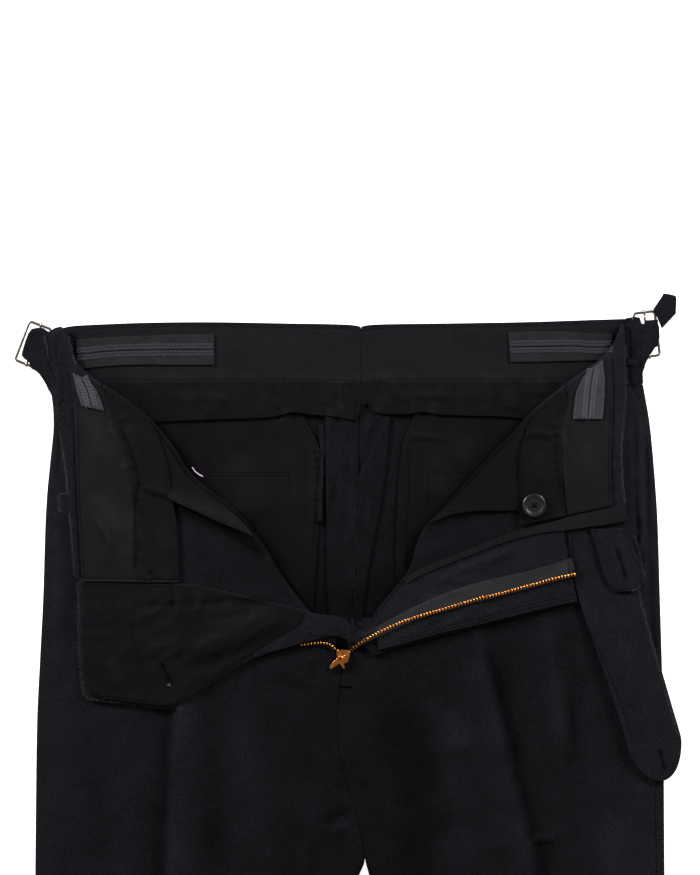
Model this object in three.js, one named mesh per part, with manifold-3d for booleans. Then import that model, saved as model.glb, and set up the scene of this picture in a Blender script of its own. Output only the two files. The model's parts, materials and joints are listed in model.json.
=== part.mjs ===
// Flannel trousers that lie on their back, front up, with the fly open and both fronts
// turned outwards. Sizes are millimetres. While the pieces are made, x runs across,
// y runs up to the waist, z rises off the surface, and the origin is the middle of the
// back waist's top edge. "right" and "left" are the wearer's, so right is at -x.
// At the end the garment moves so that the middle of its box's underside is the origin.
import * as THREE from "three";
import { mergeVertices } from "three/addons/utils/BufferGeometryUtils.js";
import Module from "manifold-3d";

// ---- driving sizes
const FLANNEL = 1.5; // wall of the outer cloth
const BAND = 2.0; // waistband wall, with its canvas
const LINING = 1.0; // wall of linings, pocket bags and tapes
const SEAM = 0.3; // gap between pieces that meet edge to edge
const LAY = 0.35; // gap between a cloth and the one that lies on it
const BAND_DEPTH = 46; // height of the waistband
const CROTCH = -399; // y of the crotch point
const HEM = -1160; // y of the hems
const WAIST_LEVEL = 5.9; // middle of the fronts near the waist
const LEG_LEVEL = 4.6; // middle of the fronts from the hips down
const TURN = 3.2; // rise from a front to its own turned-out flap
const RIM = 7; // reach of the rounded edge where a front meets its back
const CREASE_FALL = 3.5; // half width of a crease's ridge
const BUTTON_RADIUS = 8.75;

// ---- heights of the layers: the middle of each wall
const BACK_MID = FLANNEL / 2;
const BACK_BAND_MID = BAND / 2;
const BACK_BAG_MID = FLANNEL + LAY + LINING / 2;
const INLAY_MID = FLANNEL + LAY + FLANNEL / 2;
const BACK_LINING_MID = BAND + LAY + LINING / 2;
const BACK_OVER_MID = BACK_LINING_MID + LINING + LAY;
// above the middle of a flap
const FIRST = BAND / 2 + LAY + LINING / 2;
const SECOND = FIRST + LINING + LAY;
const FACED = FLANNEL / 2 + LAY + FLANNEL / 2;
const ON_FACING = FACED + FLANNEL / 2 + LAY + LINING / 2;

// ---- tables: a row for each section, with named columns
const rows = (names, ...lines) =>
  lines.map((line) => Object.fromEntries(names.map((name, i) => [name, line[i]])));

// Side seams.
const SIDE = rows(
  ["y", "right", "left"],
  [2, -222, 206], [-6, -224.6, 207.8], [-20, -226.5, 209], [-46, -227, 210],
  [-60, -225, 212.5], [-75, -224.2, 215], [-100, -226.5, 217.5], [-125, -229, 219.5],
  [-150, -230.5, 221], [-200, -232, 222.5], [-250, -234.5, 224], [-300, -236.8, 225.3],
  [-409, -238, 226], [-600, -240, 230], [-800, -239, 234], [-1000, -237, 238], [HEM, -235, 241],
);
// Inseams.
const INSEAM = rows(
  ["y", "right", "left"],
  [CROTCH, 4.5, 6.5], [-409, -1, 9.5], [-450, -4, 12], [-600, -9, 16],
  [-800, -14, 20], [-1000, -18, 23.5], [HEM, -21, 26],
);
// Front seam, from the foot of the fly to the crotch. Above it the fly's two edges part.
const FRONT_SEAM = rows(
  ["y", "right", "left"],
  [-222, -30, 5], [-234, -20.5, -4], [-246, -13.2, -9.8], [-258, -12.2, -11.8],
  [-272, -13.6, -13.2], [-285, -15.6, -15.2], [-300, -16.2, -15.8], [-318, -14.2, -13.8],
  [-335, -10.2, -9.8], [-352, -4.5, -4.1], [-375, 1.8, 2.2], [CROTCH, 5.2, 5.8],
);
const SEAT_SEAM = rows(
  ["y", "x"],
  [0, 2.3], [-80, 0.5], [-130, -1], [-197, -4.4], [-260, -4], [-330, 0.5], [CROTCH, 5.5],
);
// Upper edge of the back waistband, notched at the seat seam.
const WAIST_TOP = rows(
  ["x", "y"],
  [-224.5, -7], [-216, -3], [-200, -2.2], [-180, -1.2], [-150, -0.2], [-105, 0], [-50, -1.2],
  [-3.5, -1.6], [2.1, -3.6], [2.5, -3.6], [7, -1.6], [50, -1.3], [95, -0.6], [130, 0],
  [165, 1.3], [207, 2.6],
);
// Outermost line of each front's fold, down to the foot of the fly.
const FOLD_RIGHT = rows(
  ["y", "x"],
  [-6, -214.5], [-16, -211.5], [-28, -208.6], [-35, -203], [-40, -196.5], [-46, -188],
  [-58, -169], [-70, -153.5], [-82, -143.5], [-95, -133], [-108, -126.5], [-122, -112],
  [-136, -92], [-150, -79.5], [-165, -68.5], [-180, -61], [-195, -50.5], [-208, -40.5],
  [-222, -28.5],
);
const FOLD_LEFT = rows(
  ["y", "x"],
  [-2, 194], [-12, 190], [-20, 186], [-28, 177.5], [-36, 166], [-46, 152.5], [-58, 136.5],
  [-70, 124], [-82, 113.5], [-95, 100.5], [-108, 88.5], [-122, 76], [-136, 63.5], [-150, 49.5],
  [-162, 43], [-180, 39.3], [-195, 28.5], [-208, 16.8], [-222, 7.5], [-237, 1.2],
);
// Turned-out flap of each front: a rib runs from the fold at foldY to its outer edge.
const FLAP_RIGHT = rows(
  ["foldY", "x", "y"],
  [-46.4, -184.6, -52], [-58, -177.6, -67], [-70, -174.6, -80], [-82, -170.1, -95],
  [-95, -163.6, -112], [-108, -161.6, -132], [-122, -161.6, -162], [-136, -161.6, -192.5],
  [-150, -140, -193], [-165, -115, -195], [-180, -92, -200.5], [-195, -70, -206],
  [-208, -52, -213], [-222, -35.5, -224],
);
const FLAP_LEFT = rows(
  ["foldY", "x", "y"],
  [-46.4, 149.6, -56], [-58, 148.6, -72], [-70, 147.6, -86], [-82, 146.7, -101],
  [-95, 148.1, -118], [-108, 150.6, -136], [-122, 152.1, -155], [-136, 156.1, -180],
  [-150, 162, -207], [-163, 135, -213], [-180, 105, -221], [-195, 78, -227.5],
  [-208, 52, -234], [-222, 28, -240.5], [-237, 11, -246.5],
);
// Turned-out waistband: its top edge and its seam to the front, from the fold down.
const BAND_FLAP_RIGHT = rows(
  ["topX", "topY", "seamX", "seamY"],
  [-222.3, -40, -185, -52], [-221.8, -60, -178, -67], [-219, -76, -175, -80],
  [-217.5, -94, -170.5, -95], [-215.5, -112, -164, -112], [-213.5, -132, -162, -132],
  [-211, -162, -162, -162], [-206.8, -190.6, -162, -190.6],
);
const BAND_FLAP_LEFT = rows(
  ["topX", "topY", "seamX", "seamY"],
  [197.5, -25, 150, -56], [196.5, -50, 149, -72], [195.5, -75, 148, -86], [194, -98, 147.1, -101],
  [195.5, -118, 148.5, -118], [197, -136, 151, -136], [200.5, -155, 152.5, -155],
  [205.5, -178, 156.5, -180], [210, -207, 162.7, -207.5], [216, -230, 172, -232],
  [224, -257, 181, -258], [232, -285, 190, -285], [237.5, -303, 195.8, -303],
);
const TAB_END = { x: 216.8, y: -303, across: 20.9, along: 37.5, leanX: 0.24, leanY: -0.97 };
// Creases: a ridge with a trough beside it, at x for each y, with its height.
const CREASE_RIGHT = rows(
  ["y", "x", "height"],
  [-200, -127, 0], [-283, -130, 0.5], [-340, -135, 0.9], [-409, -136, 0.9], [-600, -132, 0.8],
  [-900, -129, 0.8], [HEM, -128, 0.7],
);
const CREASE_LEFT = rows(
  ["y", "x", "height"],
  [-190, 80, 0], [-227, 85.5, 1.2], [-258, 94, 1.4], [-300, 104, 1.4], [-360, 117, 1.3],
  [-409, 123, 1.1], [-600, 129, 0.9], [-900, 132, 0.8], [HEM, 133, 0.7],
);

// ---- small maths
const mix = (a, b, t) => a + (b - a) * t;
const clamp01 = (t) => Math.min(1, Math.max(0, t));
const smooth = (t) => clamp01(t) ** 2 * (3 - 2 * clamp01(t));
const bump = (distance, reach) => Math.exp(-((distance / reach) ** 2));

// A smooth function through one column of a table against another, and its slope.
function track(table, along, column) {
  const points = table
    .map((row) => [row[along], row[column]])
    .sort((a, b) => a[0] - b[0]);
  const rise = points.slice(1).map((p, i) => (p[1] - points[i][1]) / (p[0] - points[i][0]));
  const slope = points.map((p, i) => {
    const before = rise[Math.max(0, i - 1)];
    const after = rise[Math.min(rise.length - 1, i)];
    return before * after <= 0 ? 0 : (2 * before * after) / (before + after);
  });
  return (at) => {
    const last = points.length - 2;
    const i = Math.min(last, Math.max(0, points.findIndex((p) => p[0] > at) - 1));
    const from = at >= points[last + 1][0] ? last : i;
    const [x0, y0] = points[from];
    const [x1, y1] = points[from + 1];
    const width = x1 - x0;
    const t = clamp01((at - x0) / width);
    const value =
      y0 * (1 + 2 * t) * (1 - t) ** 2 + y1 * t * t * (3 - 2 * t) +
      width * slope[from] * t * (1 - t) ** 2 - width * slope[from + 1] * t * t * (1 - t);
    return value;
  };
}
const slopeOf = (curve, at) => (curve(at + 0.5) - curve(at - 0.5)) / 1;

// ---- surfaces that the layers follow
const baseLevel = (y) => mix(WAIST_LEVEL, LEG_LEVEL, smooth((-85 - y) / 90));
const ripple = (x, y) => 0.22 * Math.sin(x / 19 + y / 47) * Math.sin(y / 31 - x / 83 + 1);
const flapLevel = (x, y) => baseLevel(y) + TURN + ripple(x, y);
const above = (rise) => (x, y) => flapLevel(x, y) + rise;
const flat = (level) => () => level;

// ---- building a wall of cloth from the grid of its middle
// Points are [x, y, z], or undefined where the cloth has none. A cell has four points.
function clothGeometry(grid, wall) {
  const index = new Map();
  const middle = [];
  grid.forEach((line, i) => line.forEach((point, j) => {
    if (!point) return;
    index.set(i + "," + j, middle.length);
    middle.push(new THREE.Vector3(...point));
  }));
  const cells = [];
  grid.slice(1).forEach((line, i) => line.slice(1).forEach((_, j) => {
    const corners = [[i, j], [i + 1, j], [i + 1, j + 1], [i, j + 1]].map((c) => index.get(c.join()));
    if (corners.every((corner) => corner !== undefined)) cells.push(corners);
  }));
  const normals = middle.map(() => new THREE.Vector3());
  cells.forEach(([a, b, c, d]) => {
    const normal = new THREE.Vector3()
      .subVectors(middle[c], middle[a])
      .cross(new THREE.Vector3().subVectors(middle[d], middle[b]));
    [a, b, c, d].forEach((corner) => normals[corner].add(normal));
  });
  const used = middle.length;
  const positions = [1, -1].flatMap((way) =>
    middle.flatMap((point, i) =>
      point.clone().addScaledVector(normals[i].clone().normalize(), (way * wall) / 2).toArray()));
  const faces = [];
  const quad = (a, b, c, d) => faces.push(a, b, c, a, c, d);
  const edges = new Set();
  cells.forEach(([a, b, c, d]) => {
    quad(a, b, c, d);
    quad(a + used, d + used, c + used, b + used);
    [[a, b], [b, c], [c, d], [d, a]].forEach((edge) => edges.add(edge.join()));
  });
  edges.forEach((edge) => {
    const [from, to] = edge.split(",").map(Number);
    if (!edges.has(to + "," + from)) quad(to, from, from + used, to + used);
  });
  const at = (vertex) => new THREE.Vector3().fromArray(positions, vertex * 3);
  let volume = 0;
  for (let i = 0; i < faces.length; i += 3) {
    const [a, b, c] = faces.slice(i, i + 3).map(at);
    volume += a.dot(b.cross(c));
  }
  if (volume < 0) faces.reverse();
  const geometry = new THREE.BufferGeometry();
  geometry.setAttribute("position", new THREE.Float32BufferAttribute(positions, 3));
  geometry.setIndex(faces);
  return geometry;
}

// ---- materials
const finish = (color, roughness, metalness = 0) =>
  new THREE.MeshStandardMaterial({ color, roughness, metalness, side: THREE.DoubleSide });
const flannel = () => finish(0x1a191c, 0.95);
const lining = () => finish(0x211e22, 0.8);
const gripCloth = () => finish(0x3c3b40, 0.85);
const tapeCloth = () => finish(0x2b2b2e, 0.8);
const brass = () => finish(0xb98a3a, 0.35, 1);
const steel = () => finish(0xb9bbbd, 0.25, 1);
const horn = () => finish(0x393735, 0.4);

const garment = new THREE.Group();
function add(name, geometry, material) {
  const mesh = new THREE.Mesh(geometry, material);
  mesh.name = name;
  garment.add(mesh);
  return mesh;
}
const cloth = (name, grid, wall, material) => add(name, clothGeometry(grid, wall), material);

// A strip between edge a and edge b of a table, with so many cells from a to b. Its
// height is a function of x and y, and of the shares across and along the strip.
function strip(name, table, cells, wall, material, height) {
  const grid = table.map(({ ax, ay, bx, by }, i) =>
    Array.from({ length: cells + 1 }, (_, j) => {
      const across = j / cells;
      const x = mix(ax, bx, across);
      const y = mix(ay, by, across);
      return [x, y, height(x, y, across, i / (table.length - 1))];
    }));
  return cloth(name, grid, wall, material);
}
const edges = (...lines) => rows(["ax", "ay", "bx", "by"], ...lines);

// ---- fronts and their waistbands
// The rounded rise of a front from the seam at its edge.
const rim = (distance) => Math.sqrt(1 - (1 - clamp01(distance / RIM)) ** 2);
// The fold at y: the point where the cloth starts to turn, and the way that the turn bulges.
function foldAt(border, y, toward, wall) {
  const lean = slopeOf(border, y);
  const length = Math.hypot(1, lean);
  const way = { x: toward / length, y: (-toward * lean) / length };
  const back = TURN / 2 + wall / 2;
  return { x: border(y) - way.x * back, y: y - way.y * back, way };
}
// Points round the turn, from the front up to its flap, without the two ends.
function turnPoints(fold, low, high, steps) {
  const radius = (high - low) / 2;
  return Array.from({ length: steps }, (_, i) => {
    const angle = (Math.PI * (i + 1)) / (steps + 1);
    const reach = radius * Math.sin(angle);
    const z = low + radius * (1 - Math.cos(angle));
    return [fold.x + fold.way.x * reach, fold.y + fold.way.y * reach, z];
  });
}
const RIM_COLUMNS = [0, 0.9, 3, RIM];
const CREASE_COLUMNS = [-8, -3, 0, 3, 8];
const TURN_STEPS = 4;
const FLAP_STEPS = 6;

function makeFront({ name, key, toward, fold, flap, crease }) {
  const side = track(SIDE, "y", key);
  const inseam = track(INSEAM, "y", key);
  const frontSeam = track(FRONT_SEAM, "y", key);
  const border = track(fold, "y", "x");
  const creaseX = track(crease, "y", "x");
  const creaseHeight = track(crease, "y", "height");
  const lastFold = flap[flap.length - 1].foldY;
  const seamRows = [-246, -258, -272, -290, -312, -335, -362, -386, CROTCH + 0.5];
  const legRows = [-412, -450, -530, -640, -770, -900, -1030, HEM];
  const sections = [
    ...flap.map((row) => row.foldY),
    ...(lastFold > -230 ? [-234] : []),
    ...seamRows,
    ...legRows,
  ];
  const grid = sections.map((y, i) => {
    const rib = flap[i];
    const turn = rib && foldAt(border, y, toward, FLANNEL);
    const outer = side(y);
    const inner = rib ? turn.x : y > CROTCH ? frontSeam(y) : inseam(y);
    const innerY = rib ? turn.y : y;
    const inward = Math.sign(inner - outer);
    const width = Math.abs(inner - outer);
    const spots = columnSpots(width, Math.abs(creaseX(y) - outer), smooth((-140 - y) / 60));
    const edgeLevel = FLANNEL + SEAM + FLANNEL / 2;
    const level = baseLevel(y);
    const openEnd = rib ? 1 : smooth((y - CROTCH + 14) / 26);
    const innerEdge = mix(edgeLevel, level, openEnd);
    const base = spots.map((spot, column) => {
      const x = outer + inward * spot;
      const lineY = mix(y, innerY, spot / width);
      const fromOuter = mix(edgeLevel, level, rim(spot));
      const fromInner = mix(innerEdge, level, rim(width - spot));
      const inside = smooth(Math.min(spot, width - spot) / 12);
      const folds = creaseHeight(y) * relief(toward * (creaseX(y) - x)) + ripple(x, y);
      const z = Math.min(fromOuter, fromInner) + inside * folds;
      return column === spots.length - 1 && rib ? [turn.x, turn.y, level] : [x, lineY, z];
    });
    if (!rib) return base;
    const high = flapLevel(turn.x, turn.y);
    const round = turnPoints(turn, level, high, TURN_STEPS);
    const out = Array.from({ length: FLAP_STEPS + 1 }, (_, j) => {
      const x = mix(turn.x, rib.x, j / FLAP_STEPS);
      const ribY = mix(turn.y, rib.y, j / FLAP_STEPS);
      return [x, ribY, flapLevel(x, ribY)];
    });
    return [...base, ...round, ...out];
  });
  cloth(name, grid, FLANNEL, flannel());
}
// Height across a crease: its ridge, then the trough on the side towards the side seam.
const relief = (outward) => bump(outward, CREASE_FALL) - 0.8 * bump(outward - 8, CREASE_FALL);
// Distances from the side seam where a front has its columns: close at both rims, and
// gathered round the crease by the share that it has there.
function columnSpots(width, crease, gathered) {
  const low = RIM;
  const high = width - RIM;
  const even = Array.from({ length: 10 }, (_, i) => mix(low, high, i / 9));
  const round = [
    low, mix(low, crease - 8, 0.5),
    ...CREASE_COLUMNS.map((offset) => crease + offset),
    mix(crease + 8, high, 1 / 3), mix(crease + 8, high, 2 / 3), high,
  ];
  const interior = even.map((spot, i) => mix(spot, round[i], gathered));
  return [
    ...RIM_COLUMNS.slice(0, -1),
    ...interior,
    ...RIM_COLUMNS.slice(0, -1).reverse().map((spot) => width - spot),
  ];
}

const BAND_ROWS = 6;
function makeFrontBand({ name, key, toward, fold, sections, top, end }) {
  const side = track(SIDE, "y", key);
  const border = track(fold, "y", "x");
  const edgeLevel = BAND + SEAM + BAND / 2;
  const grid = Array.from({ length: BAND_ROWS + 1 }, (_, j) => {
    const across = j / BAND_ROWS;
    const y = mix(top, -BAND_DEPTH + SEAM / 2, across);
    const turn = foldAt(border, y, toward, BAND);
    const outer = side(y);
    const width = Math.abs(turn.x - outer);
    const base = [0, 0.9, 3, 6, 12, 24].map((spot, i, all) => {
      const reach = i === all.length - 1 ? 1 : Math.min(spot / width, 0.2 + 0.15 * i);
      const x = mix(outer, turn.x, reach);
      return [x, mix(y, turn.y, reach), mix(edgeLevel, WAIST_LEVEL, rim(reach * width))];
    });
    base[base.length - 1][2] = WAIST_LEVEL;
    const round = turnPoints(turn, WAIST_LEVEL, flapLevel(turn.x, turn.y), TURN_STEPS);
    const start = [turn.x, turn.y, flapLevel(turn.x, turn.y)];
    const out = sections.map((row) => {
      const x = mix(row.topX, row.seamX - toward * 0.3, across);
      const rowY = mix(row.topY, row.seamY, across);
      return [x, rowY, flapLevel(x, rowY)];
    });
    return [...base, ...round, start, ...out, ...(end ? endPoints(end, across) : [])];
  });
  cloth(name, grid, BAND, flannel());
}
// Round end of the long waistband: a half ellipse, and a line halfway to it.
function endPoints({ x, y, across: half, along, leanX, leanY }, across) {
  const angle = mix(0.12, 0.88, across) * Math.PI;
  return [0.5, 1].map((share) => {
    const sideways = half * mix(1 - 2 * across, Math.cos(angle), share) * 0.995;
    const ahead = along * share * mix(0.55, Math.sin(angle), share);
    const px = x + sideways * -leanY + ahead * leanX;
    const py = y + sideways * leanX + ahead * leanY;
    return [px, py, flapLevel(px, py)];
  });
}

makeFront({
  name: "front_right", key: "right", toward: 1, fold: FOLD_RIGHT, flap: FLAP_RIGHT,
  crease: CREASE_RIGHT,
});
makeFront({
  name: "front_left", key: "left", toward: -1, fold: FOLD_LEFT, flap: FLAP_LEFT,
  crease: CREASE_LEFT,
});
makeFrontBand({
  name: "waistband_front_right", key: "right", toward: 1, fold: FOLD_RIGHT,
  sections: BAND_FLAP_RIGHT, top: -6,
});
makeFrontBand({
  name: "waistband_front_left", key: "left", toward: -1, fold: FOLD_LEFT,
  sections: BAND_FLAP_LEFT, top: -2, end: TAB_END,
});

// ---- backs
const BACK_ROWS = [
  -BAND_DEPTH - SEAM / 2, -75, -110, -150, -200, -250, -300, -350, CROTCH, -412, -450, -530,
  -640, -770, -900, -1030, HEM,
];
function makeBack(name, key, toward) {
  const side = track(SIDE, "y", key);
  const inseam = track(INSEAM, "y", key);
  const seat = track(SEAT_SEAM, "y", "x");
  const table = BACK_ROWS.map((y) => {
    const inner = y >= CROTCH ? seat(y) - (toward * SEAM) / 2 : inseam(y);
    return { ax: side(y), ay: y, bx: inner, by: y };
  });
  strip(name, table, 6, FLANNEL, flannel(), flat(BACK_MID));
}
makeBack("back_right", "right", 1);
makeBack("back_left", "left", -1);

const waistTop = track(WAIST_TOP, "x", "y");
const acrossBand = (spots) =>
  spots.map((x) => ({ ax: x, ay: waistTop(x), bx: x, by: -BAND_DEPTH + SEAM / 2 }));
strip(
  "waistband_back_right", acrossBand([-224.5, -216, -200, -165, -130, -95, -50, -3.5, 2.1]),
  3, BAND, flannel(), flat(BACK_BAND_MID),
);
strip(
  "waistband_back_left", acrossBand([2.5, 7, 50, 95, 130, 165, 195, 207]),
  3, BAND, flannel(), flat(BACK_BAND_MID),
);

// Wide seam allowances of the seat seam, pressed open.
strip(
  "inlay_right",
  edges(
    [1.2, -60, -24.6, -60], [0.3, -79, -24.4, -79], [-1.2, -130, -23.5, -130],
    [-3.4, -165, -23.2, -165], [-4.6, -197, -23, -197], [-4.6, -235, -20, -235],
  ),
  2, FLANNEL, flannel(), flat(INLAY_MID),
);
strip(
  "inlay_left",
  edges(
    [1.8, -60, 24, -60], [0.9, -79, 23, -79], [0.1, -105, 20.8, -105], [-0.6, -130, 17.6, -130],
    [-2.8, -165, 11, -165], [-4, -197, 4.5, -197], [-4, -222, 2.5, -222],
  ),
  2, FLANNEL, flannel(), flat(INLAY_MID),
);

// Pocket bags of the back pockets. They run on under the fronts.
strip(
  "pocket_bag_back_right",
  edges(
    [-175, -55, -47, -55], [-172, -67, -41.5, -67], [-165, -79, -35.4, -79],
    [-160, -90, -29.4, -90], [-156, -99, -26.8, -99], [-150, -112, -26.5, -112],
    [-140, -130, -28, -130], [-125, -163, -29.8, -163], [-100, -197, -32.5, -197],
    [-80, -214, -33, -214],
  ),
  6, LINING, lining(), flat(BACK_BAG_MID),
);
strip(
  "pocket_bag_back_left",
  edges(
    [47, -55, 140, -55], [42.5, -68, 140, -68], [35.3, -80, 135, -80], [32.6, -92, 130, -92],
    [30.6, -110, 120, -110], [29.5, -130, 110, -130], [28, -160, 95, -160],
    [27.4, -197, 80, -197], [27.5, -214, 60, -214],
  ),
  6, LINING, lining(), flat(BACK_BAG_MID),
);

// Waist lining of the back, and the curtain that hangs from it with a free wavy hem.
const liningAt = (x) => ({ ax: x, ay: waistTop(x) - 4, bx: x, by: -BAND_DEPTH + 1 });
strip(
  "lining_waist_back_right", [-213, -185, -150, -105, -50, -10, 2].map(liningAt),
  3, LINING, lining(), flat(BACK_LINING_MID),
);
strip(
  "lining_waist_back_left", [2.6, 12, 50, 95, 130, 165, 194].map(liningAt),
  3, LINING, lining(), flat(BACK_LINING_MID),
);
const CURTAIN_HEM = rows(
  ["x", "y"],
  [-162, -75], [-150, -73.8], [-117, -72.6], [-100, -72], [-65, -71], [-56, -68.8], [-49, -66.6],
  [-43, -67], [-34, -69], [-20, -69.4], [-8, -72.2], [-2, -72.5], [1.2, -68], [6.5, -61.2],
  [13.5, -69], [31, -67.8], [41, -68.3], [47, -65.4], [55, -68.2], [75, -69.5], [112, -69.6],
  [124, -72.6], [134, -73],
);
const curtainWave = (x, y) => {
  const down = smooth((-BAND_DEPTH - y) / 22);
  const waves = bump(x + 46, 9) + 0.8 * bump(x - 6.5, 6) + 0.8 * bump(x - 47, 6);
  return BACK_OVER_MID + down * (1.3 * waves + 0.15);
};
const curtain = (name, topLeft, topRight, low, high) => {
  const hem = CURTAIN_HEM.filter(({ x }) => x >= low && x <= high);
  const span = hem[hem.length - 1].x - hem[0].x;
  const table = hem.map(({ x, y }) => {
    const share = (x - hem[0].x) / span;
    return { ax: mix(topLeft, topRight, share), ay: -BAND_DEPTH + 1.6, bx: x, by: y };
  });
  strip(name, table, 4, LINING, lining(), curtainWave);
};
curtain("curtain_back_right", -190, 1, -170, 1.2);
curtain("curtain_back_left", 6.2, 158, 6.5, 140);

// Ribbed tapes that grip the shirt.
strip(
  "grip_tape_back_right",
  edges(
    [-208.5, -13.5, -208.5, -34.5], [-200, -12.5, -200, -34.5], [-180, -11, -182, -32],
    [-152, -10, -156, -31.6], [-130, -9.3, -130, -31.8], [-106.3, -9.3, -106.3, -32],
  ),
  3, LINING, gripCloth(), flat(BACK_OVER_MID),
);
strip(
  "grip_tape_back_left",
  edges(
    [111, -7.5, 112.5, -29.8], [135, -7.3, 136, -29.4], [160, -7, 161, -29],
    [166, -8.5, 169, -28.5], [178, -9, 179, -28.5], [188, -9, 188, -27],
  ),
  3, LINING, gripCloth(), flat(BACK_OVER_MID),
);

// ---- what lies on the turned-out right front
const lift = (share, reach) => reach * share * share;
strip(
  "pocket_bag_front_right",
  edges(
    [-150, -80, -151, -121], [-140, -91.5, -138.5, -131.5], [-132.5, -104, -125, -137],
    [-125, -117, -112, -143.5], [-107.5, -129, -99, -149.3], [-92.5, -140, -87, -153.7],
    [-81, -152, -77, -158], [-73.5, -162, -69.5, -168],
  ),
  5, LINING, lining(), (x, y, across) => flapLevel(x, y) + FIRST
    + lift(across, 1.6) * smooth((x + 136) / 14),
);
strip(
  "lining_waist_front_right",
  edges(
    [-212.5, -35.5, -192.5, -48], [-210.5, -48, -185, -55], [-209, -66, -178.8, -68],
    [-208.3, -82, -175.3, -82], [-207.8, -98, -170.2, -97], [-207, -115, -164, -113],
    [-206.3, -133, -162.8, -132], [-205, -160, -162.8, -160], [-203, -190, -162.8, -190],
  ),
  4, LINING, lining(), above(FIRST),
);
strip(
  "curtain_front_right",
  edges(
    [-186, -53.5, -182, -51.8], [-180, -67, -164.5, -63], [-176.5, -81, -151, -74.5],
    [-171.5, -96, -143.5, -93], [-165.5, -113, -138.4, -113], [-164, -132, -137, -131],
    [-164, -140, -134.5, -141], [-164, -160, -133, -155], [-164, -190, -131.8, -190],
  ),
  4, LINING, lining(), above(SECOND),
);
strip(
  "grip_tape_front_right",
  edges([-210, -38, -198.5, -43], [-208, -48, -191, -51], [-203.5, -62, -186.8, -66]),
  3, LINING, gripCloth(), above(SECOND),
);
strip(
  "hanger_loop",
  edges([-220, -127.5, -210, -126.5], [-220.6, -133, -210, -133], [-219.6, -139.5, -210, -140]),
  2, LINING, flannel(), (x, y) => baseLevel(y) + FLANNEL / 2 + ripple(x, y) + SEAM + LINING / 2,
);

// Fly shield: a wide bearer at the waist that tapers to the foot of the fly, which it
// bridges. It sinks towards the front below it once it is past the flap's edge.
const SHIELD = edges(
  [-206.3, -191.4, -202.8, -270], [-204, -191.4, -201.3, -276.3], [-199, -191.5, -196.5, -279.3],
  [-182, -192, -180, -280.5], [-164, -192.4, -160, -283], [-146, -192.6, -143, -284.8],
  [-133, -192.8, -131.5, -284.2], [-120, -193.6, -119, -275], [-106, -196.6, -106, -265.5],
  [-92, -200.2, -92, -256.5], [-78, -203.6, -78, -248.5], [-64, -206.6, -64, -243.3],
  [-50, -209.8, -50, -239.8], [-38, -213, -39, -236], [-28, -216.5, -28, -233.6],
  [-16, -216.3, -18, -231], [-7, -220.3, -11, -232.5], [-2, -228.5, -6.5, -237],
);
const SHIELD_SINK = 2.4;
const shieldTop = track(SHIELD, "ax", "ay");
const shieldFoot = track(SHIELD, "bx", "by");
function shieldLevel(x, y) {
  const across = clamp01((y - shieldTop(x)) / (shieldFoot(x) - shieldTop(x)));
  const narrow = smooth((x + 90) / 50);
  const begins = mix(0.1, 0.55, narrow);
  const sunk = mix(SHIELD_SINK, 1.0, narrow) * clamp01((across - begins) / (1 - begins)) ** 2;
  return flapLevel(x, y) + mix(FACED - sunk, 0.3, smooth((x + 30) / 24));
}
strip("fly_shield", SHIELD, 6, FLANNEL, flannel(), shieldLevel);
strip(
  "shield_lining",
  edges(
    [-201.8, -192.5, -199, -269], [-200, -192.5, -197.5, -274], [-195, -192.6, -192, -277.3],
    [-180, -193, -178, -279], [-162, -193.4, -159, -281.5], [-146, -193.6, -143, -283],
    [-133, -193.8, -131.5, -282.3], [-119, -194.8, -119.5, -273], [-105, -197.8, -106, -263],
    [-91, -201.4, -92, -253], [-77, -204.8, -78, -243], [-63, -207.8, -64, -234.5],
    [-50, -211, -52, -227.5], [-41, -213.6, -43, -221.6],
  ),
  6, LINING, lining(), (x, y) => shieldLevel(x, y) + FLANNEL / 2 + LAY + LINING / 2,
);

// ---- what lies on the turned-out left front
strip(
  "pocket_bag_front_left",
  edges(
    [122, -78, 126, -139], [106, -93.5, 107, -139.6], [90.5, -110, 89, -139],
    [75, -127, 71, -141.2], [62, -141, 57, -146.8], [51.5, -149.5, 46, -151],
  ),
  5, LINING, lining(), (x, y, across) => flapLevel(x, y) + FIRST
    + lift(across, 1.2) * smooth((116 - x) / 14),
);
strip(
  "lining_waist_front_left",
  edges(
    [186, -26, 159, -45], [187, -45, 152, -56], [187, -60, 150, -72], [186.5, -75, 149, -86],
    [185.5, -98, 148, -101], [186, -118, 149.3, -118], [187, -135.5, 151.8, -143],
  ),
  4, LINING, lining(), above(FIRST),
);
strip(
  "curtain_front_left",
  edges(
    [153.5, -50.5, 149, -52], [150.5, -72, 136, -63.5], [149.5, -86, 125, -76],
    [148.6, -101, 119.5, -92], [150, -118, 118.5, -110], [152.4, -136, 119, -130],
    [152.8, -143.2, 119, -150.3],
  ),
  4, LINING, lining(), above(SECOND),
);
strip(
  "grip_tape_front_left",
  edges([180, -28.5, 167, -38], [182, -45, 160.5, -50], [181, -60, 158.8, -61], [180, -72, 158, -72]),
  3, LINING, gripCloth(), above(SECOND),
);
strip(
  "fly_facing",
  edges(
    [12, -219, 15, -242], [16, -213.8, 26, -239.5], [29, -198, 45, -234], [42, -185, 66, -228.3],
    [63, -177, 88, -223.8], [85, -168.5, 104, -219.8], [105, -160, 120, -215.6],
    [126, -153.6, 140, -210.8], [151.3, -151.2, 161, -206],
  ),
  5, FLANNEL, flannel(), above(FACED),
);
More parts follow.
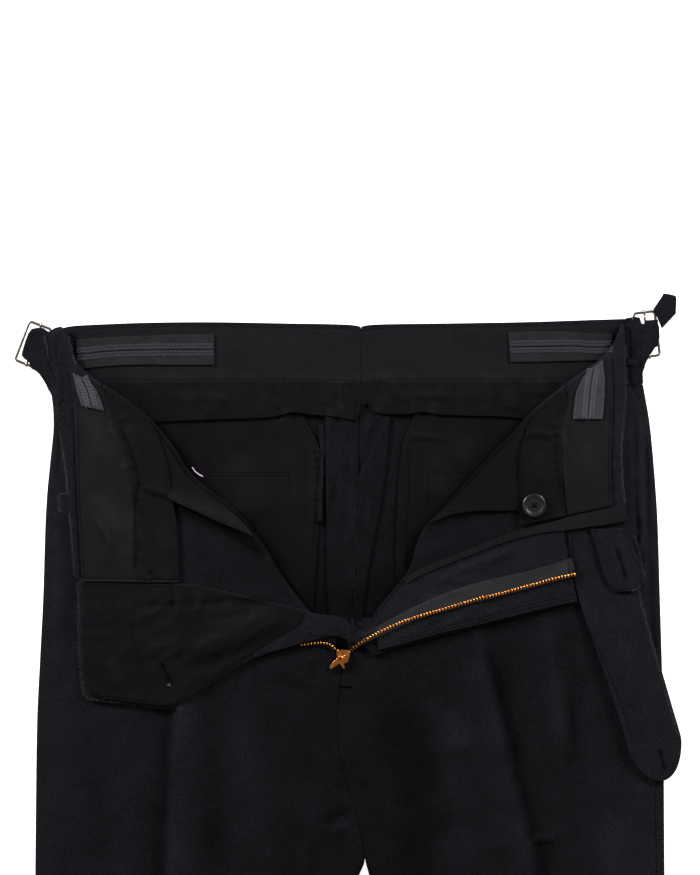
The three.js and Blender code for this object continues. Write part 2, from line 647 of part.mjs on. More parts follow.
strip(
  "bound_strip",
  edges(
    [197, -136.3, 199, -146.6], [180, -138.6, 182, -150], [163, -142.6, 163, -152.2],
    [151, -145.4, 151.5, -154.2], [140, -148.8, 141, -154.6], [125, -152, 126.5, -157.2],
    [105, -158.2, 106.5, -162.6], [85, -166.8, 86.5, -170.8], [62, -175.6, 63.5, -179.6],
    [43, -183.4, 44.5, -187.2], [34, -189.5, 36, -192.8],
  ),
  2, LINING, lining(), above(ON_FACING),
);
strip(
  "inner_tab",
  edges(
    [171, -153, 196, -152.6], [173.5, -161, 200.5, -161], [176.5, -171, 203.2, -170],
    [178.8, -181, 208.5, -177], [181.6, -189, 210.8, -183], [185.5, -195.5, 210, -190],
    [190.5, -199.2, 204.5, -198.4],
  ),
  4, BAND, flannel(), above(BAND / 2 + LAY + BAND / 2),
);

// ---- zip
// A tape runs on the facing, then comes down off the fold to the slider.
const SLIDER = { x: -11, y: -247, z: LEG_LEVEL + FLANNEL / 2 + SEAM };
const TAPE_LOW = SLIDER.z + 0.9;
strip(
  "zip_tape_left",
  edges(
    [157.5, -174, 161, -187.3], [140, -180, 141.5, -192.8], [120, -185.3, 121.5, -198],
    [100, -189.3, 101.5, -203.2], [80, -194.4, 81.5, -208.2], [62, -200.6, 63, -213.6],
    [45, -208.3, 46, -218.6], [32, -214.9, 33, -223.8], [22, -220.3, 23, -228.4],
    [13, -225.6, 14, -232.6], [6, -229.8, 7.5, -236], [1, -233.4, 2.8, -238.2],
    [-4, -238.2, -2.4, -241.5],
  ),
  2, LINING, tapeCloth(),
  (x, y) => mix(TAPE_LOW, flapLevel(x, y) + ON_FACING, smooth((x + 5) / 14)),
);
strip(
  "zip_tape_right",
  edges(
    [-46, -233.5, -45, -239.6], [-36, -233, -35, -238.9], [-26, -233.2, -25.5, -238.7],
    [-19.5, -236, -21.5, -240.6], [-16.2, -240.6, -18.4, -243.8],
  ),
  2, LINING, tapeCloth(), flat(TAPE_LOW - 0.2),
);

// A shape cut from a plate, with rounded edges, lying at a height.
function plate(outline, thick, round, holes = []) {
  const shape = new THREE.Shape(outline.map(([x, y]) => new THREE.Vector2(x, y)));
  holes.forEach((hole) => shape.holes.push(new THREE.Path(hole.map(([x, y]) => new THREE.Vector2(x, y)))));
  const geometry = new THREE.ExtrudeGeometry(shape, {
    depth: thick - 2 * round, bevelThickness: round, bevelSize: round, bevelOffset: -round,
    bevelSegments: 2, steps: 1, curveSegments: 1,
  });
  geometry.translate(0, 0, round);
  return geometry;
}
// Points round an ellipse, or round a rectangle with round corners.
const oval = (rx, ry, points, cx = 0, cy = 0) =>
  Array.from({ length: points }, (_, i) => {
    const angle = (2 * Math.PI * i) / points;
    return [cx + rx * Math.cos(angle), cy + ry * Math.sin(angle)];
  });
const roundBox = (width, height, corner, cx = 0, cy = 0) =>
  [[1, 1], [-1, 1], [-1, -1], [1, -1]].flatMap(([sx, sy], quarter) =>
    [0, 1, 2, 3].map((step) => {
      const angle = (quarter + step / 3) * (Math.PI / 2);
      return [
        cx + sx * (width / 2 - corner) + corner * Math.cos(angle),
        cy + sy * (height / 2 - corner) + corner * Math.sin(angle),
      ];
    }));

// Joins closed bodies into one.
const wasm = await Module();
wasm.setup();
function solid(geometry) {
  const bare = geometry.clone();
  bare.deleteAttribute("normal");
  bare.deleteAttribute("uv");
  const merged = mergeVertices(bare, 1e-4);
  return new wasm.Manifold(new wasm.Mesh({
    numProp: 3,
    vertProperties: merged.attributes.position.array,
    triVerts: new Uint32Array(merged.index.array),
  }));
}
function joined(...geometries) {
  const whole = geometries.map(solid).reduce((sum, next) => sum.add(next));
  const { vertProperties, triVerts } = whole.getMesh();
  const geometry = new THREE.BufferGeometry();
  geometry.setAttribute("position", new THREE.BufferAttribute(vertProperties, 3));
  geometry.setIndex(new THREE.BufferAttribute(triVerts, 1));
  return geometry;
}

// Slider, its narrow end towards the closed teeth, and its crown, which stands across the
// pull's axis with an eye for the pull's bar.
const SLIDER_THICK = 2.6;
const EYE = { radius: 1.2, rise: 1.6 };
const PULL_HEADING = Math.atan2(-0.57, -0.82);
const PULL_DROOP = 0.11;
const slider = new THREE.Group();
slider.position.set(SLIDER.x, SLIDER.y, SLIDER.z);
garment.add(slider);
const sliderBody = plate(
  [[-4.6, 4.2], [-4.9, 1], [-2.9, -4.6], [2.9, -4.6], [4.9, 1], [4.6, 4.2], [1.4, 5], [-1.4, 5]],
  SLIDER_THICK, 0.45,
);
const crown = plate(
  [[-2.8, -0.6], [2.8, -0.6], [2.8, 1.6], [2, 2.9], [0.8, 3.5], [-0.8, 3.5], [-2, 2.9], [-2.8, 1.6]],
  1.8, 0.2, [oval(EYE.radius, EYE.radius, 10, 0, EYE.rise)],
);
crown.translate(0, 0, -0.9).rotateX(Math.PI / 2).rotateZ(PULL_HEADING);
crown.translate(0, 0, SLIDER_THICK);
const sliderMesh = new THREE.Mesh(joined(sliderBody, crown), brass());
sliderMesh.name = "zip_slider";
slider.add(sliderMesh);

// Pull tab: a leaf with an opening, whose bar lies in the crown's eye.
const pull = plate(
  [[-0.55, -1.95], [0.2, -2.2], [5, -2.1], [9, -2.2], [10.3, -1.3], [10.3, 1.3], [9, 2.2],
    [5, 2.1], [0.2, 2.2], [-0.55, 1.95]],
  1.1, 0.2, [[[0.55, -1.15], [0.55, 1.15], [4.1, 1.15], [4.1, -1.15]].reverse()],
);
pull.translate(0, 0, -0.55).rotateY(PULL_DROOP);
const pullMesh = new THREE.Mesh(pull, brass());
pullMesh.name = "zip_pull";
pullMesh.position.z = SLIDER_THICK + EYE.rise;
pullMesh.rotation.z = PULL_HEADING;
slider.add(pullMesh);

// ---- inner button, four holes
const button = plate(
  oval(BUTTON_RADIUS, BUTTON_RADIUS, 24), 3, 0.6,
  [[1, 1], [-1, 1], [-1, -1], [1, -1]].map(([sx, sy]) => oval(0.8, 0.8, 6, sx * 1.75, sy * 1.75)),
);
const BUTTON_AT = { x: 129.5, y: -135.5 };
const buttonMesh = add("button_inner", button, horn());
buttonMesh.position.set(
  BUTTON_AT.x, BUTTON_AT.y, flapLevel(BUTTON_AT.x, BUTTON_AT.y) + SECOND + LINING / 2 + 0.5,
);

// ---- side adjusters: a strap through a slide buckle on each side
function buckle(name, x, y, z, turn, width, height) {
  const wire = 2.2;
  const slot = (height, cx) => roundBox(width / 2 - 1.5 * wire, height - 2 * wire, 1.2, cx, 0).reverse();
  const offset = width / 4 - wire / 4;
  const frame = plate(
    roundBox(width, height, 3), wire, 0.5, [slot(height, -offset), slot(height, offset)],
  );
  const mesh = add(name, frame, steel());
  mesh.position.set(x, y, z);
  mesh.rotation.z = turn;
  return mesh;
}
buckle("adjuster_buckle_right", -239.8, -17, 1, -0.36, 20, 33);
strip(
  "adjuster_strap_right",
  edges(
    [-229.3, -48.5, -228.2, -45], [-234, -40, -228, -34], [-241, -32, -228.2, -23],
    [-246.5, -26, -228.5, -14.5], [-247, -19, -229.5, -9.5], [-244.5, -11.5, -233, -6.5],
    [-241.5, -6.5, -236.5, -5.5],
  ),
  3, FLANNEL, flannel(), flat(1 + 2.2 + LAY + FLANNEL / 2),
);
const TOP_SURFACE = WAIST_LEVEL + BAND / 2;
buckle("adjuster_buckle_left", 212.8, -9.5, TOP_SURFACE + LAY, 0.12, 18, 35);
strip(
  "adjuster_strap_left",
  edges(
    [203.6, -46, 209, -44], [203.8, -38, 210.5, -35], [204.3, -28, 213, -27.5],
    [205, -18, 220.5, -18], [206, -8, 221.5, -8.5], [209, -1.8, 219.5, -1.5],
  ),
  3, FLANNEL, flannel(), (x, y) => TOP_SURFACE + 2 * LAY + 2.2 + FLANNEL / 2
    - 2.2 * smooth((-28 - y) / 14),
);
strip(
  "adjuster_strap_tip_left",
  edges(
    [217.6, 8.9, 224.2, -3.6], [221.5, 14.6, 229.2, 0.8], [225.7, 20.7, 234.4, 6],
    [229.5, 20.2, 234.6, 12.5], [233.4, 19.4, 234.6, 17.6],
  ),
  3, BAND, flannel(), (x, y) => TOP_SURFACE + 2 * LAY + 2.2 + BAND / 2 - 0.3 * Math.max(0, x - 222),
);

// ---- stand the garment on the middle of its box's underside
const part = new THREE.Group();
part.add(garment);
part.updateMatrixWorld(true);
const box = new THREE.Box3().setFromObject(part, true);
garment.position.set(-(box.min.x + box.max.x) / 2, -(box.min.y + box.max.y) / 2, -box.min.z);
export default part;
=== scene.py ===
"""Dark flannel trousers laid flat on their back, the fly open and both fronts turned out."""

import json
import math
import random

import bmesh
import bpy
import numpy as np
from mathutils import Matrix, Vector
from mathutils.bvhtree import BVHTree


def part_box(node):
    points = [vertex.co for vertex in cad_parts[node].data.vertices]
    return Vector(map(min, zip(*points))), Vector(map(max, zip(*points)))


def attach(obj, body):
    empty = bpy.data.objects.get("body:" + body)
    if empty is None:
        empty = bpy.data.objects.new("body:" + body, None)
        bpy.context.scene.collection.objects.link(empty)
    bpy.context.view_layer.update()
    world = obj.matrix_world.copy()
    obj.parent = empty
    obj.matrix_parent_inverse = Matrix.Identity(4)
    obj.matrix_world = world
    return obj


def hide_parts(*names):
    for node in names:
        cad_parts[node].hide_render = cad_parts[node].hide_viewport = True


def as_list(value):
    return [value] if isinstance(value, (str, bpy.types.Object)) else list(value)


MM = 0.001
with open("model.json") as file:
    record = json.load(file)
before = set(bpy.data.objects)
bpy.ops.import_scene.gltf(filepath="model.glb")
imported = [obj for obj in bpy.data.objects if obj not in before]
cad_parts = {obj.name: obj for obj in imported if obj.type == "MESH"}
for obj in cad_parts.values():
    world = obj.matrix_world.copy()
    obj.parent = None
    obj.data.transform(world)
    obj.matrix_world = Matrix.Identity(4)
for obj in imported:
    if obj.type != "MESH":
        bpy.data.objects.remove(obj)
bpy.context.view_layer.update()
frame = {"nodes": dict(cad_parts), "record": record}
NODES = frame["nodes"]

# ---- the garment's own millimetres: x across, y up to the waist, the origin in the
# middle of the back waist's top edge, where the seat seam ends
SEAT_SEAM_X = 2.1
BAND_FOOT_Y = -45.85
_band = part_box("waistband_back_right")
WAIST = Vector((_band[1].x - SEAT_SEAM_X * MM, _band[0].y - BAND_FOOT_Y * MM, 0))


def at(x, y, z=0.0):
    """A point given in the garment's millimetres, in the frame's metres."""
    return Vector((WAIST.x + x * MM, WAIST.y + y * MM, z * MM))


# ---- camera, light and floor
VIEW_WIDTH = 518 * MM
VIEW_CENTRE = at(-5.9, -85.5)
CAMERA_HEIGHT = 2.4
CLIP_END = 20
WORLD_STRENGTH = 0.34
# a name, a place from the view's centre and a size in metres, and watts: a low key from the
# upper left, and a weaker fill from the upper right
LIGHTS = (("key", (-1.1, 0.75, 0.68), 0.4, 32), ("fill", (1.1, 0.75, 0.76), 0.5, 27))
FLOOR_SIZE = 8
FLOOR_Z = -0.0002
FLOOR_LOOK = {"Base Color": (0.9, 0.9, 0.9, 1), "Roughness": 0.9,
              "Emission Color": (1, 1, 1, 1), "Emission Strength": 0.85}


def make_camera():
    data = bpy.data.cameras.new("camera")
    data.sensor_fit = "HORIZONTAL"
    data.lens = data.sensor_width * CAMERA_HEIGHT / VIEW_WIDTH
    data.clip_end = CLIP_END
    camera = bpy.data.objects.new("camera", data)
    camera.location = VIEW_CENTRE + Vector((0, 0, CAMERA_HEIGHT))
    bpy.context.scene.collection.objects.link(camera)
    bpy.context.scene.camera = camera


def area_light(name, place, target, size, watts):
    data = bpy.data.lights.new(name, "AREA")
    data.size = size
    data.energy = watts
    light = bpy.data.objects.new(name, data)
    light.location = place
    light.rotation_euler = (Vector(place) - Vector(target)).to_track_quat("Z", "Y").to_euler()
    bpy.context.scene.collection.objects.link(light)


def make_stage():
    scene = bpy.context.scene
    scene.view_settings.view_transform = "Standard"
    world = bpy.data.worlds.new("studio")
    world.use_nodes = True
    background = world.node_tree.nodes["Background"].inputs
    background["Color"].default_value = (1, 1, 1, 1)
    background["Strength"].default_value = WORLD_STRENGTH
    scene.world = world
    for name, place, size, watts in LIGHTS:
        area_light(name, VIEW_CENTRE + Vector(place), VIEW_CENTRE, size, watts)
    bpy.ops.mesh.primitive_plane_add(size=FLOOR_SIZE, location=(0, 0, FLOOR_Z))
    floor = bpy.context.object
    floor.name = "floor"
    floor.data.materials.append(Shader("floor_white", FLOOR_LOOK).material)


# ---- materials
FLANNEL_COLOR = (0.0066, 0.0064, 0.0078)
LINING_COLOR = (0.0081, 0.0071, 0.0085)
POCKETING_COLOR = (0.0049, 0.0041, 0.0048)
GRIP_COLOR = (0.0146, 0.0140, 0.0154)
GRIP_RIB_COLOR = (0.056, 0.055, 0.064)
TAPE_COLOR = (0.018, 0.018, 0.020)
THREAD_COLOR = (0.0030, 0.0029, 0.0034)
PALE_THREAD_COLOR = (0.0070, 0.0066, 0.0080)
LILAC_THREAD_COLOR = (0.62, 0.52, 0.66)
GREY_THREAD_COLOR = (0.10, 0.10, 0.115)
# very dark thread, and the painted shade in the buttonholes' slits
DARK_THREAD_AND_SLIT_SHADE_COLOR = (0.0015, 0.0015, 0.0016)
# the edge fibres, far paler than the flannel: a painted sheen
NAP_SHEEN_COLOR = (0.062, 0.058, 0.064)
HORN_COLORS = (0.0016, 0.0015, 0.0014), (0.0085, 0.0080, 0.0072)
BRASS_COLORS = (0.80, 0.31, 0.075), (0.24, 0.075, 0.018)
STEEL_COLORS = (0.40, 0.34, 0.29), (0.10, 0.082, 0.072)
PLATED = 0.22  # how rough both metals are
# the flannel's darkest and palest mottle, and how strongly the painted shade and light darken troughs
# and pale ridges on each cloth
FLANNEL_RANGE = 0.55, 1.58
FLANNEL_PAINTED_SHADING = 0.085
TWILL_PAINTED_SHADING = 0.2
TWILL_CONTRAST, GRIP_CONTRAST, GRIP_LIT_CONTRAST = 0.3, 0.5, 0.6
TWILL_PITCH, TAPE_PITCH = 0.8, 1.2
# painted light and shade: the front grips are lit copies of the grip's colours, and the right zip
# tape a shaded copy of the tape's
GRIP_LIT_TIMES, GRIP_RIB_LIT_TIMES, PAINTED_SHADE_TAPE_TIMES = 2.1, 1.75, 0.4
WAVE_PERIOD = 0.314  # how far apart the ribs of a wave texture of scale 1 are, in metres
# the least and most by which the painted shade and light scale a colour
DARKEST, PALEST = 0.5, 1.6


def scaled(color, share):
    return tuple(c * share for c in color)


class Shader:
    """A new material: its Principled shader, and the nodes that feed it."""

    def __init__(self, name, look):
        self.material = bpy.data.materials.new(name)
        self.material.use_nodes = True
        tree = self.material.node_tree
        self.nodes, self.link = tree.nodes, tree.links.new
        self.bsdf = self.nodes["Principled BSDF"]
        self.place = None
        self.feed(self.bsdf, look)

    def feed(self, node, inputs):
        """Sets a node's inputs to values, or links them to other nodes' outlets."""
        for socket, value in inputs.items():
            if isinstance(value, bpy.types.NodeSocket):
                self.link(value, node.inputs[socket])
            else:
                node.inputs[socket].default_value = value

    def add(self, kind, outlet, inputs):
        node = self.nodes.new("ShaderNode" + kind)
        self.feed(node, inputs)
        return node.outputs[outlet]

    def mapped(self, turn, stretch=(1, 1, 1)):
        """The object's own coordinates, stretched and turned."""
        if self.place is None:
            self.place = self.add("TexCoord", "Object", {})
        return self.add("Mapping", "Vector", {"Vector": self.place, "Scale": stretch,
                                              "Rotation": (0, 0, turn)})

    def noise(self, scale, detail, stretch=(1, 1, 1), turn=0.0):
        return self.add("TexNoise", "Fac", {"Vector": self.mapped(turn, stretch), "Scale": scale,
                                            "Detail": detail})

    def weave(self, pitch, turn):
        """Parallel ribs a pitch apart in millimetres, turned by an angle."""
        return self.add("TexWave", "Fac", {"Vector": self.mapped(turn), "Distortion": 1.2,
                                           "Scale": WAVE_PERIOD / (pitch * MM), "Detail Scale": 3})

    def math(self, operation, first, second):
        node = self.nodes.new("ShaderNodeMath")
        node.operation = operation
        self.feed(node, {0: first, 1: second})
        return node.outputs[0]

    def weighted(self, *shares):
        """The sum of textures, each times its weight."""
        total = 0.0
        for texture, weight in shares:
            total = self.math("ADD", self.math("MULTIPLY", texture, weight), total)
        return total

    def blend(self, share, low, high, start=0.3, end=0.7):
        ramp = self.nodes.new("ShaderNodeValToRGB")
        for element, color, place in zip(ramp.color_ramp.elements, (low, high), (start, end)):
            element.color = (*color, 1)
            element.position = place
        self.link(share, ramp.inputs["Fac"])
        return ramp.outputs["Color"]

    def with_painted_shading(self, color, strength):
        """A colour darkened or paled by the painted shade and light that lift_points writes on the
        mesh.
        """
        rise = self.nodes.new("ShaderNodeAttribute")
        rise.attribute_name = "painted_shade_and_light"
        value = self.math("ADD", self.math("MULTIPLY", rise.outputs["Fac"], strength), 1.0)
        value = self.math("MINIMUM", self.math("MAXIMUM", value, DARKEST), PALEST)
        return self.add("HueSaturation", "Color", {"Value": value, "Color": color})

    def finish(self, color, height, strength, distance):
        """Links a colour and a bump to the shader, and gives the material."""
        normal = self.add("Bump", "Normal", {"Strength": strength, "Distance": distance,
                                             "Height": height})
        self.feed(self.bsdf, {"Base Color": color, "Normal": normal})
        return self.material


def flannel_material():
    """Milled wool: a mottled nap over a faint diagonal twill."""
    wool = Shader("flannel", {"Roughness": 0.95, "Specular IOR Level": 0.0, "Sheen Weight": 0.03,
                              "Sheen Roughness": 0.4, "Sheen Tint": (0.75, 0.75, 0.85, 1)})
    nap = wool.noise(900, 3, (1, 0.6, 1), 0.6)
    fibres = wool.noise(2000, 2, (1, 0.4, 1), 0.75)
    share = wool.weighted((nap, 0.45), (fibres, 0.32), (wool.noise(60, 2), 0.17),
                          (wool.weave(1.7, 0.9), 0.06))
    low, high = (scaled(FLANNEL_COLOR, times) for times in FLANNEL_RANGE)
    color = wool.with_painted_shading(wool.blend(share, low, high, 0.34, 0.66), FLANNEL_PAINTED_SHADING)
    return wool.finish(color, share, 0.6, 0.0004)


def twill_material(name, color, contrast=TWILL_CONTRAST, pitch=TWILL_PITCH):
    """Smooth cotton twill: fine diagonal lines and soft uneven tone."""
    twill = Shader(name, {"Roughness": 0.78, "Specular IOR Level": 0.02, "Sheen Weight": 0.01})
    thread = twill.noise(1300, 2, (1, 0.3, 1), -0.9)
    share = twill.weighted((thread, 0.5), (twill.noise(55, 3), 0.3),
                           (twill.weave(pitch, -0.75), 0.2))
    color = twill.blend(share, scaled(color, 1 - contrast), scaled(color, 1 + contrast))
    return twill.finish(twill.with_painted_shading(color, TWILL_PAINTED_SHADING), share, 0.5, 0.0003)


def thread_material(name, color):
    """Twisted sewing thread."""
    thread = Shader(name, {"Roughness": 0.8, "Specular IOR Level": 0.02})
    twist = thread.noise(2600, 2)
    return thread.finish(thread.blend(twist, scaled(color, 0.6), color), twist, 0.4, 0.0001)


def metal_material(name, bright, dark, roughness):
    """Plated metal, duller where it has been handled."""
    metal = Shader(name, {"Metallic": 1.0})
    scratch = metal.noise(2600, 2, (1, 0.15, 1), 0.6)
    share = metal.weighted((metal.noise(420, 4), 0.7), (scratch, 0.3))
    rough = metal.blend(share, (roughness * 0.7,) * 3, (roughness * 1.6,) * 3)
    metal.feed(metal.bsdf, {"Roughness": rough})
    return metal.finish(metal.blend(share, bright, dark), share, 0.15, 0.0001)


def horn_material():
    """Polished resin that imitates horn: grey with light and dark streaks."""
    horn = Shader("button_horn", {"Roughness": 0.42, "Specular IOR Level": 0.25,
                                  "Coat Weight": 0.12, "Coat Roughness": 0.2})
    streak = horn.noise(160, 4, (1, 0.3, 1), 0.9)
    share = horn.weighted((streak, 0.75), (horn.noise(900, 2), 0.25))
    return horn.finish(horn.blend(share, *HORN_COLORS), share, 0.1, 0.0002)


# ---- small maths
Z_UP = Vector((0, 0, 1))
FAR = 1e9


def leftward(way):
    """The way turned a quarter to the left."""
    return np.array([-way[1], way[0]])


def lengths_along(line):
    """How far along a line each of its points is."""
    return np.concatenate([[0], np.cumsum(np.linalg.norm(np.diff(line, axis=0), axis=1))])


def read_rows(rows, value, column=1):
    """A column of a table, read off at a value of its first column."""
    return np.interp(value, [row[0] for row in rows], [row[column] for row in rows])


def hump(away, reach):
    """1 on a line, and less the farther off it."""
    return np.exp(-(away / reach) ** 2)


def smooth_step(share):
    share = np.clip(share, 0, 1)
    return share * share * (3 - 2 * share)


def smooth_line(points, step=3.0):
    """Points about a step apart, in millimetres, on a smooth curve through the given ones."""
    points = np.array(points, dtype=float)
    if len(points) == 2:
        count = max(2, int(np.linalg.norm(points[1] - points[0]) / step) + 1)
        share = np.linspace(0, 1, count)[:, None]
        return points[0] * (1 - share) + points[1] * share
    padded = np.vstack([2 * points[0] - points[1], points, 2 * points[-1] - points[-2]])
    line = []
    for p0, p1, p2, p3 in zip(padded, padded[1:], padded[2:], padded[3:]):
        count = max(2, int(np.linalg.norm(p2 - p1) / step) + 1)
        for t in np.linspace(0, 1, count, endpoint=False):
            line.append(0.5 * (2 * p1 + (p2 - p0) * t + (2 * p0 - 5 * p1 + 4 * p2 - p3) * t * t
                               + (3 * p1 - p0 - 3 * p2 + p3) * t ** 3))
    line.append(points[-1])
    return np.array(line)


WAY_REACH = 0.4


def along(points, pitch):
    """Places a pitch apart on a smooth curve, each with the way that the curve runs there."""
    line = smooth_line(points, 1.0)
    lengths = lengths_along(line)
    count = max(1, int(round(lengths[-1] / pitch)))
    spots = (np.arange(count) + 0.5) * lengths[-1] / count
    for spot in spots:
        here, ahead, behind = (
            np.array([np.interp(s, lengths, line[:, axis]) for axis in range(line.shape[1])])
            for s in (spot, spot + WAY_REACH, spot - WAY_REACH))
        way = ahead - behind
        yield here, way / (np.linalg.norm(way) or 1)


# ---- folds: rows of a half width on each side of a line, a height, and the line, in
# millimetres. The first half width is to the left of someone who walks along the line.
FOLDS = {"front": (
    # pressed creases: gentle on the inner side, a drop and a trough on the outer one
    (14, 4, 3.8, ((-129, -258), (-131.5, -286), (-134, -340), (-136.7, -408), (-133, -600),
                    (-129, -900), (-128, -1150))),
    (5, 10, -3.4, ((-140, -270), (-142, -330), (-145.5, -408), (-142, -600), (-138, -900),
                  (-137, -1150))),
    (4, 14, 4.2, ((85, -221), (88.5, -235), (93, -262), (100, -290), (107, -325), (115, -355),
                    (122, -385), (125.5, -408), (130, -600), (132, -900), (133, -1150))),
    (9, 5, -3.8, ((97, -235), (102, -262), (109, -290), (116, -325), (124, -355), (131, -385),
                  (135, -408), (139, -600), (141, -900), (142, -1150))),
    # the second pleat, and the dip beside the long tab
    (3.5, 10, 3.8, ((142, -205), (144, -235), (149, -270), (150, -300), (151, -335))),
    (7, 4, -2.7, ((150, -214), (153, -240), (157, -270), (158, -300), (159, -345))),
    (9, 6, -1.1, ((157, -310), (155, -360), (156, -420), (160, -500))),
    (12, 12, -2.2, ((158, -216), (165, -244), (180, -285), (194, -323), (203, -352))),
    # thighs
    (18, 18, -2.8, ((14, -262), (26, -292), (40, -330), (44, -360), (42, -400), (38, -470))),
    (14, 18, 3.0, ((62, -270), (72, -320), (78, -380), (80, -450))),
    (10, 10, -2.2, ((-110, -268), (-108, -310), (-106, -360), (-104, -430), (-106, -520))),
    (17, 14, 2.8, ((-88, -276), (-82, -330), (-80, -390), (-84, -480))),
    (3, 3, 1.2, ((-176, -282), (-175, -300), (-176, -332))),
    (9, 13, -2.2, ((-190, -300), (-192, -350), (-189, -420))),
    (9, 12, 2.4, ((185, -352), (187, -400), (186, -470))),
    # the crotch, and the foot of the fly
    (3.2, 3.2, -2.3, ((-27, -372), (-17, -367), (-4, -361))),
    (4, 4, 1.7, ((-26, -379), (-15, -374), (-3, -369))),
    (3.2, 3.2, -2.2, ((-31, -384), (-32, -396), (-32, -414))),
    (5, 5, 1.7, ((-40, -382), (-41, -398), (-42, -416))),
    (3, 3, -1.6, ((1, -346), (8, -340))),
    (3.5, 3.5, -1.8, ((-31.6, -250), (-32, -258), (-31, -268))),
    (6, 6, -1.4, ((-60, -262), (-48, -270), (-34, -274))),
    # the hips, beside the turned-out bands
    (2.6, 2.6, -1.6, ((204, -62), (205.5, -120), (207, -180), (209, -250))),
    (2.4, 2.4, 1.9, ((208, -70), (209.5, -130), (211, -190), (213, -250))),
    (2.6, 2.6, -1.4, ((212, -84), (214, -140), (215.5, -200), (217, -252))),
    (2.6, 2.6, -1.3, ((-218.5, -60), (-219.5, -90), (-221, -118))),
    (3, 3, 1.7, ((-222, -150), (-222, -190), (-224, -235))),
    (3, 3, -1.4, ((-216, -205), (-215, -240), (-217, -280))),
), "flap": (
    # the right flap's linings
    (1.4, 1.4, -1.1, ((-175.2, -72.5), (-172.4, -83.6), (-166.9, -96.6), (-162.8, -111.4),
                      (-161, -122.5), (-163.2, -133.6), (-162.8, -150.2), (-161.7, -165),
                      (-163.5, -188))),
    (2.2, 2.2, 1.2, ((-171, -72), (-166, -88), (-160.5, -100), (-157, -118))),
    (1.6, 1.6, -1.2, ((-162, -124.8), (-150.2, -129), (-136, -132.5))),
    (2.2, 2.2, 1.3, ((-160, -120), (-149, -124.5), (-137, -128))),
    (2.4, 2.0, 1.8, ((-197.4, -143.8), (-190, -148.4), (-184.4, -159.5), (-179.5, -170.6))),
    (1.5, 1.5, -1.1, ((-187, -173), (-184, -181), (-181, -191))),
    (1.8, 1.8, 1.4, ((-161, -185), (-156, -188), (-152, -192))),
    (1.4, 1.4, -1.4, ((-158, -183), (-152, -186.5), (-148, -191))),
    (1.8, 1.8, 1.3, ((-150, -184), (-143, -188), (-136, -191))),
    (8, 8, 1.6, ((-196, -122), (-183, -142), (-168, -163))),
    (6, 6, 1.1, ((-195, -66), (-190, -90), (-188, -110))),
    (4, 6, 1.3, ((-152, -98), (-146, -112), (-143, -128))),
    (6, 5, 1.1, ((-152, -150), (-143, -160), (-136, -176))),
    # the fly shield
    (2.5, 4, -1.4, ((-164, -209), (-130, -208), (-100, -206.5), (-56, -208))),
    (4, 4, -0.9, ((-198, -228), (-182, -225), (-163, -222.7))),
    (1.4, 1.4, -0.9, ((-162.2, -194), (-164, -209.4), (-165.9, -231.6), (-161.3, -250.1),
                      (-157.6, -272))),
    (2, 2, 1.2, ((-133.6, -193), (-131.7, -205.7), (-132.6, -220.5))),
    (1.5, 1.5, -1.2, ((-137, -195), (-136, -206), (-137, -214))),
    (2, 2, 1.1, ((-120, -196), (-117, -206), (-119, -216))),
    (7, 7, 1.8, ((-132, -246), (-104, -236), (-78, -224), (-52, -213))),
    (6, 6, 1.6, ((-160, -244), (-146, -240), (-128, -237))),
    (5, 5, -1.4, ((-130, -257), (-100, -248), (-72, -235), (-43, -220))),
    (5, 6, 1.4, ((-118, -226), (-92, -222), (-64, -217))),
    (5, 5, -1.0, ((-134, -251), (-126, -249))),
    (5, 5, 1.1, ((-185, -246), (-178, -262), (-174, -272))),
    # the left flap's linings
    (1.3, 1.3, -0.8, ((118, -88), (117.1, -109.5), (119.9, -131.7), (120, -148))),
    (1.3, 1.3, -0.9, ((149.5, -58), (146.7, -79.9), (145.8, -98.4), (149.5, -131.7), (152, -144))),
    (2.4, 2.4, 1.5, ((153, -62), (151, -82), (150, -100), (153.5, -130))),
    (2.2, 2.2, 1.3, ((117, -87), (131, -81.8), (148, -84.4))),
    (1.4, 1.4, -0.8, ((118, -91.5), (131, -86.5), (147, -89))),
    (7, 7, 1.1, ((132, -92), (133, -108), (136, -122))),
    (6, 6, 1.1, ((168, -86), (169, -108), (170, -130))),
    (6, 8, -0.9, ((64, -152), (82, -146), (104, -142))),
    # its fly facing and long tab
    (3, 3, 1.1, ((60, -190), (90, -178), (124, -166))),
    (2.4, 2.4, -0.9, ((156, -210), (158, -190), (157, -160))),
    (5, 5, 1.3, ((190, -215), (197, -245), (207, -285))),
    (4, 4, -0.9, ((206, -225), (213, -255), (221, -290))),
), "back": (
    (16, 16, 1.9, ((-96, -96), (-84, -120), (-72, -150))),
    (8, 8, 1.4, ((-60, -92), (-50, -112), (-46, -150))),
    (14, 14, 1.8, ((58, -96), (62, -112), (56, -134))),
    (8, 8, 1.3, ((84, -84), (78, -96), (70, -104))),
    (4, 4, 1.0, ((-142, -58), (-120, -56), (-80, -58))),
    (3, 3, 1.1, ((-107.5, -50), (-107, -60), (-107, -70))),
    (3, 3, 1.1, ((115, -48), (116, -58), (117, -68))),
    (1.5, 1.5, -0.9, ((34.8, -87.3), (52, -89), (71.8, -91))),
    (2.2, 2.2, 1.2, ((33, -84), (48, -84.5), (66, -87))),
    (2, 2, 1.3, ((-38, -84), (-34, -100), (-34, -130), (-37, -170))),
    (4, 4, 0.8, ((20, -56), (60, -54), (100, -56))),
    (3, 3, 1.0, ((-12, -80), (-13, -120), (-14, -160))),
    (3, 3, 1.0, ((10, -84), (9, -120), (6, -160))),
)}
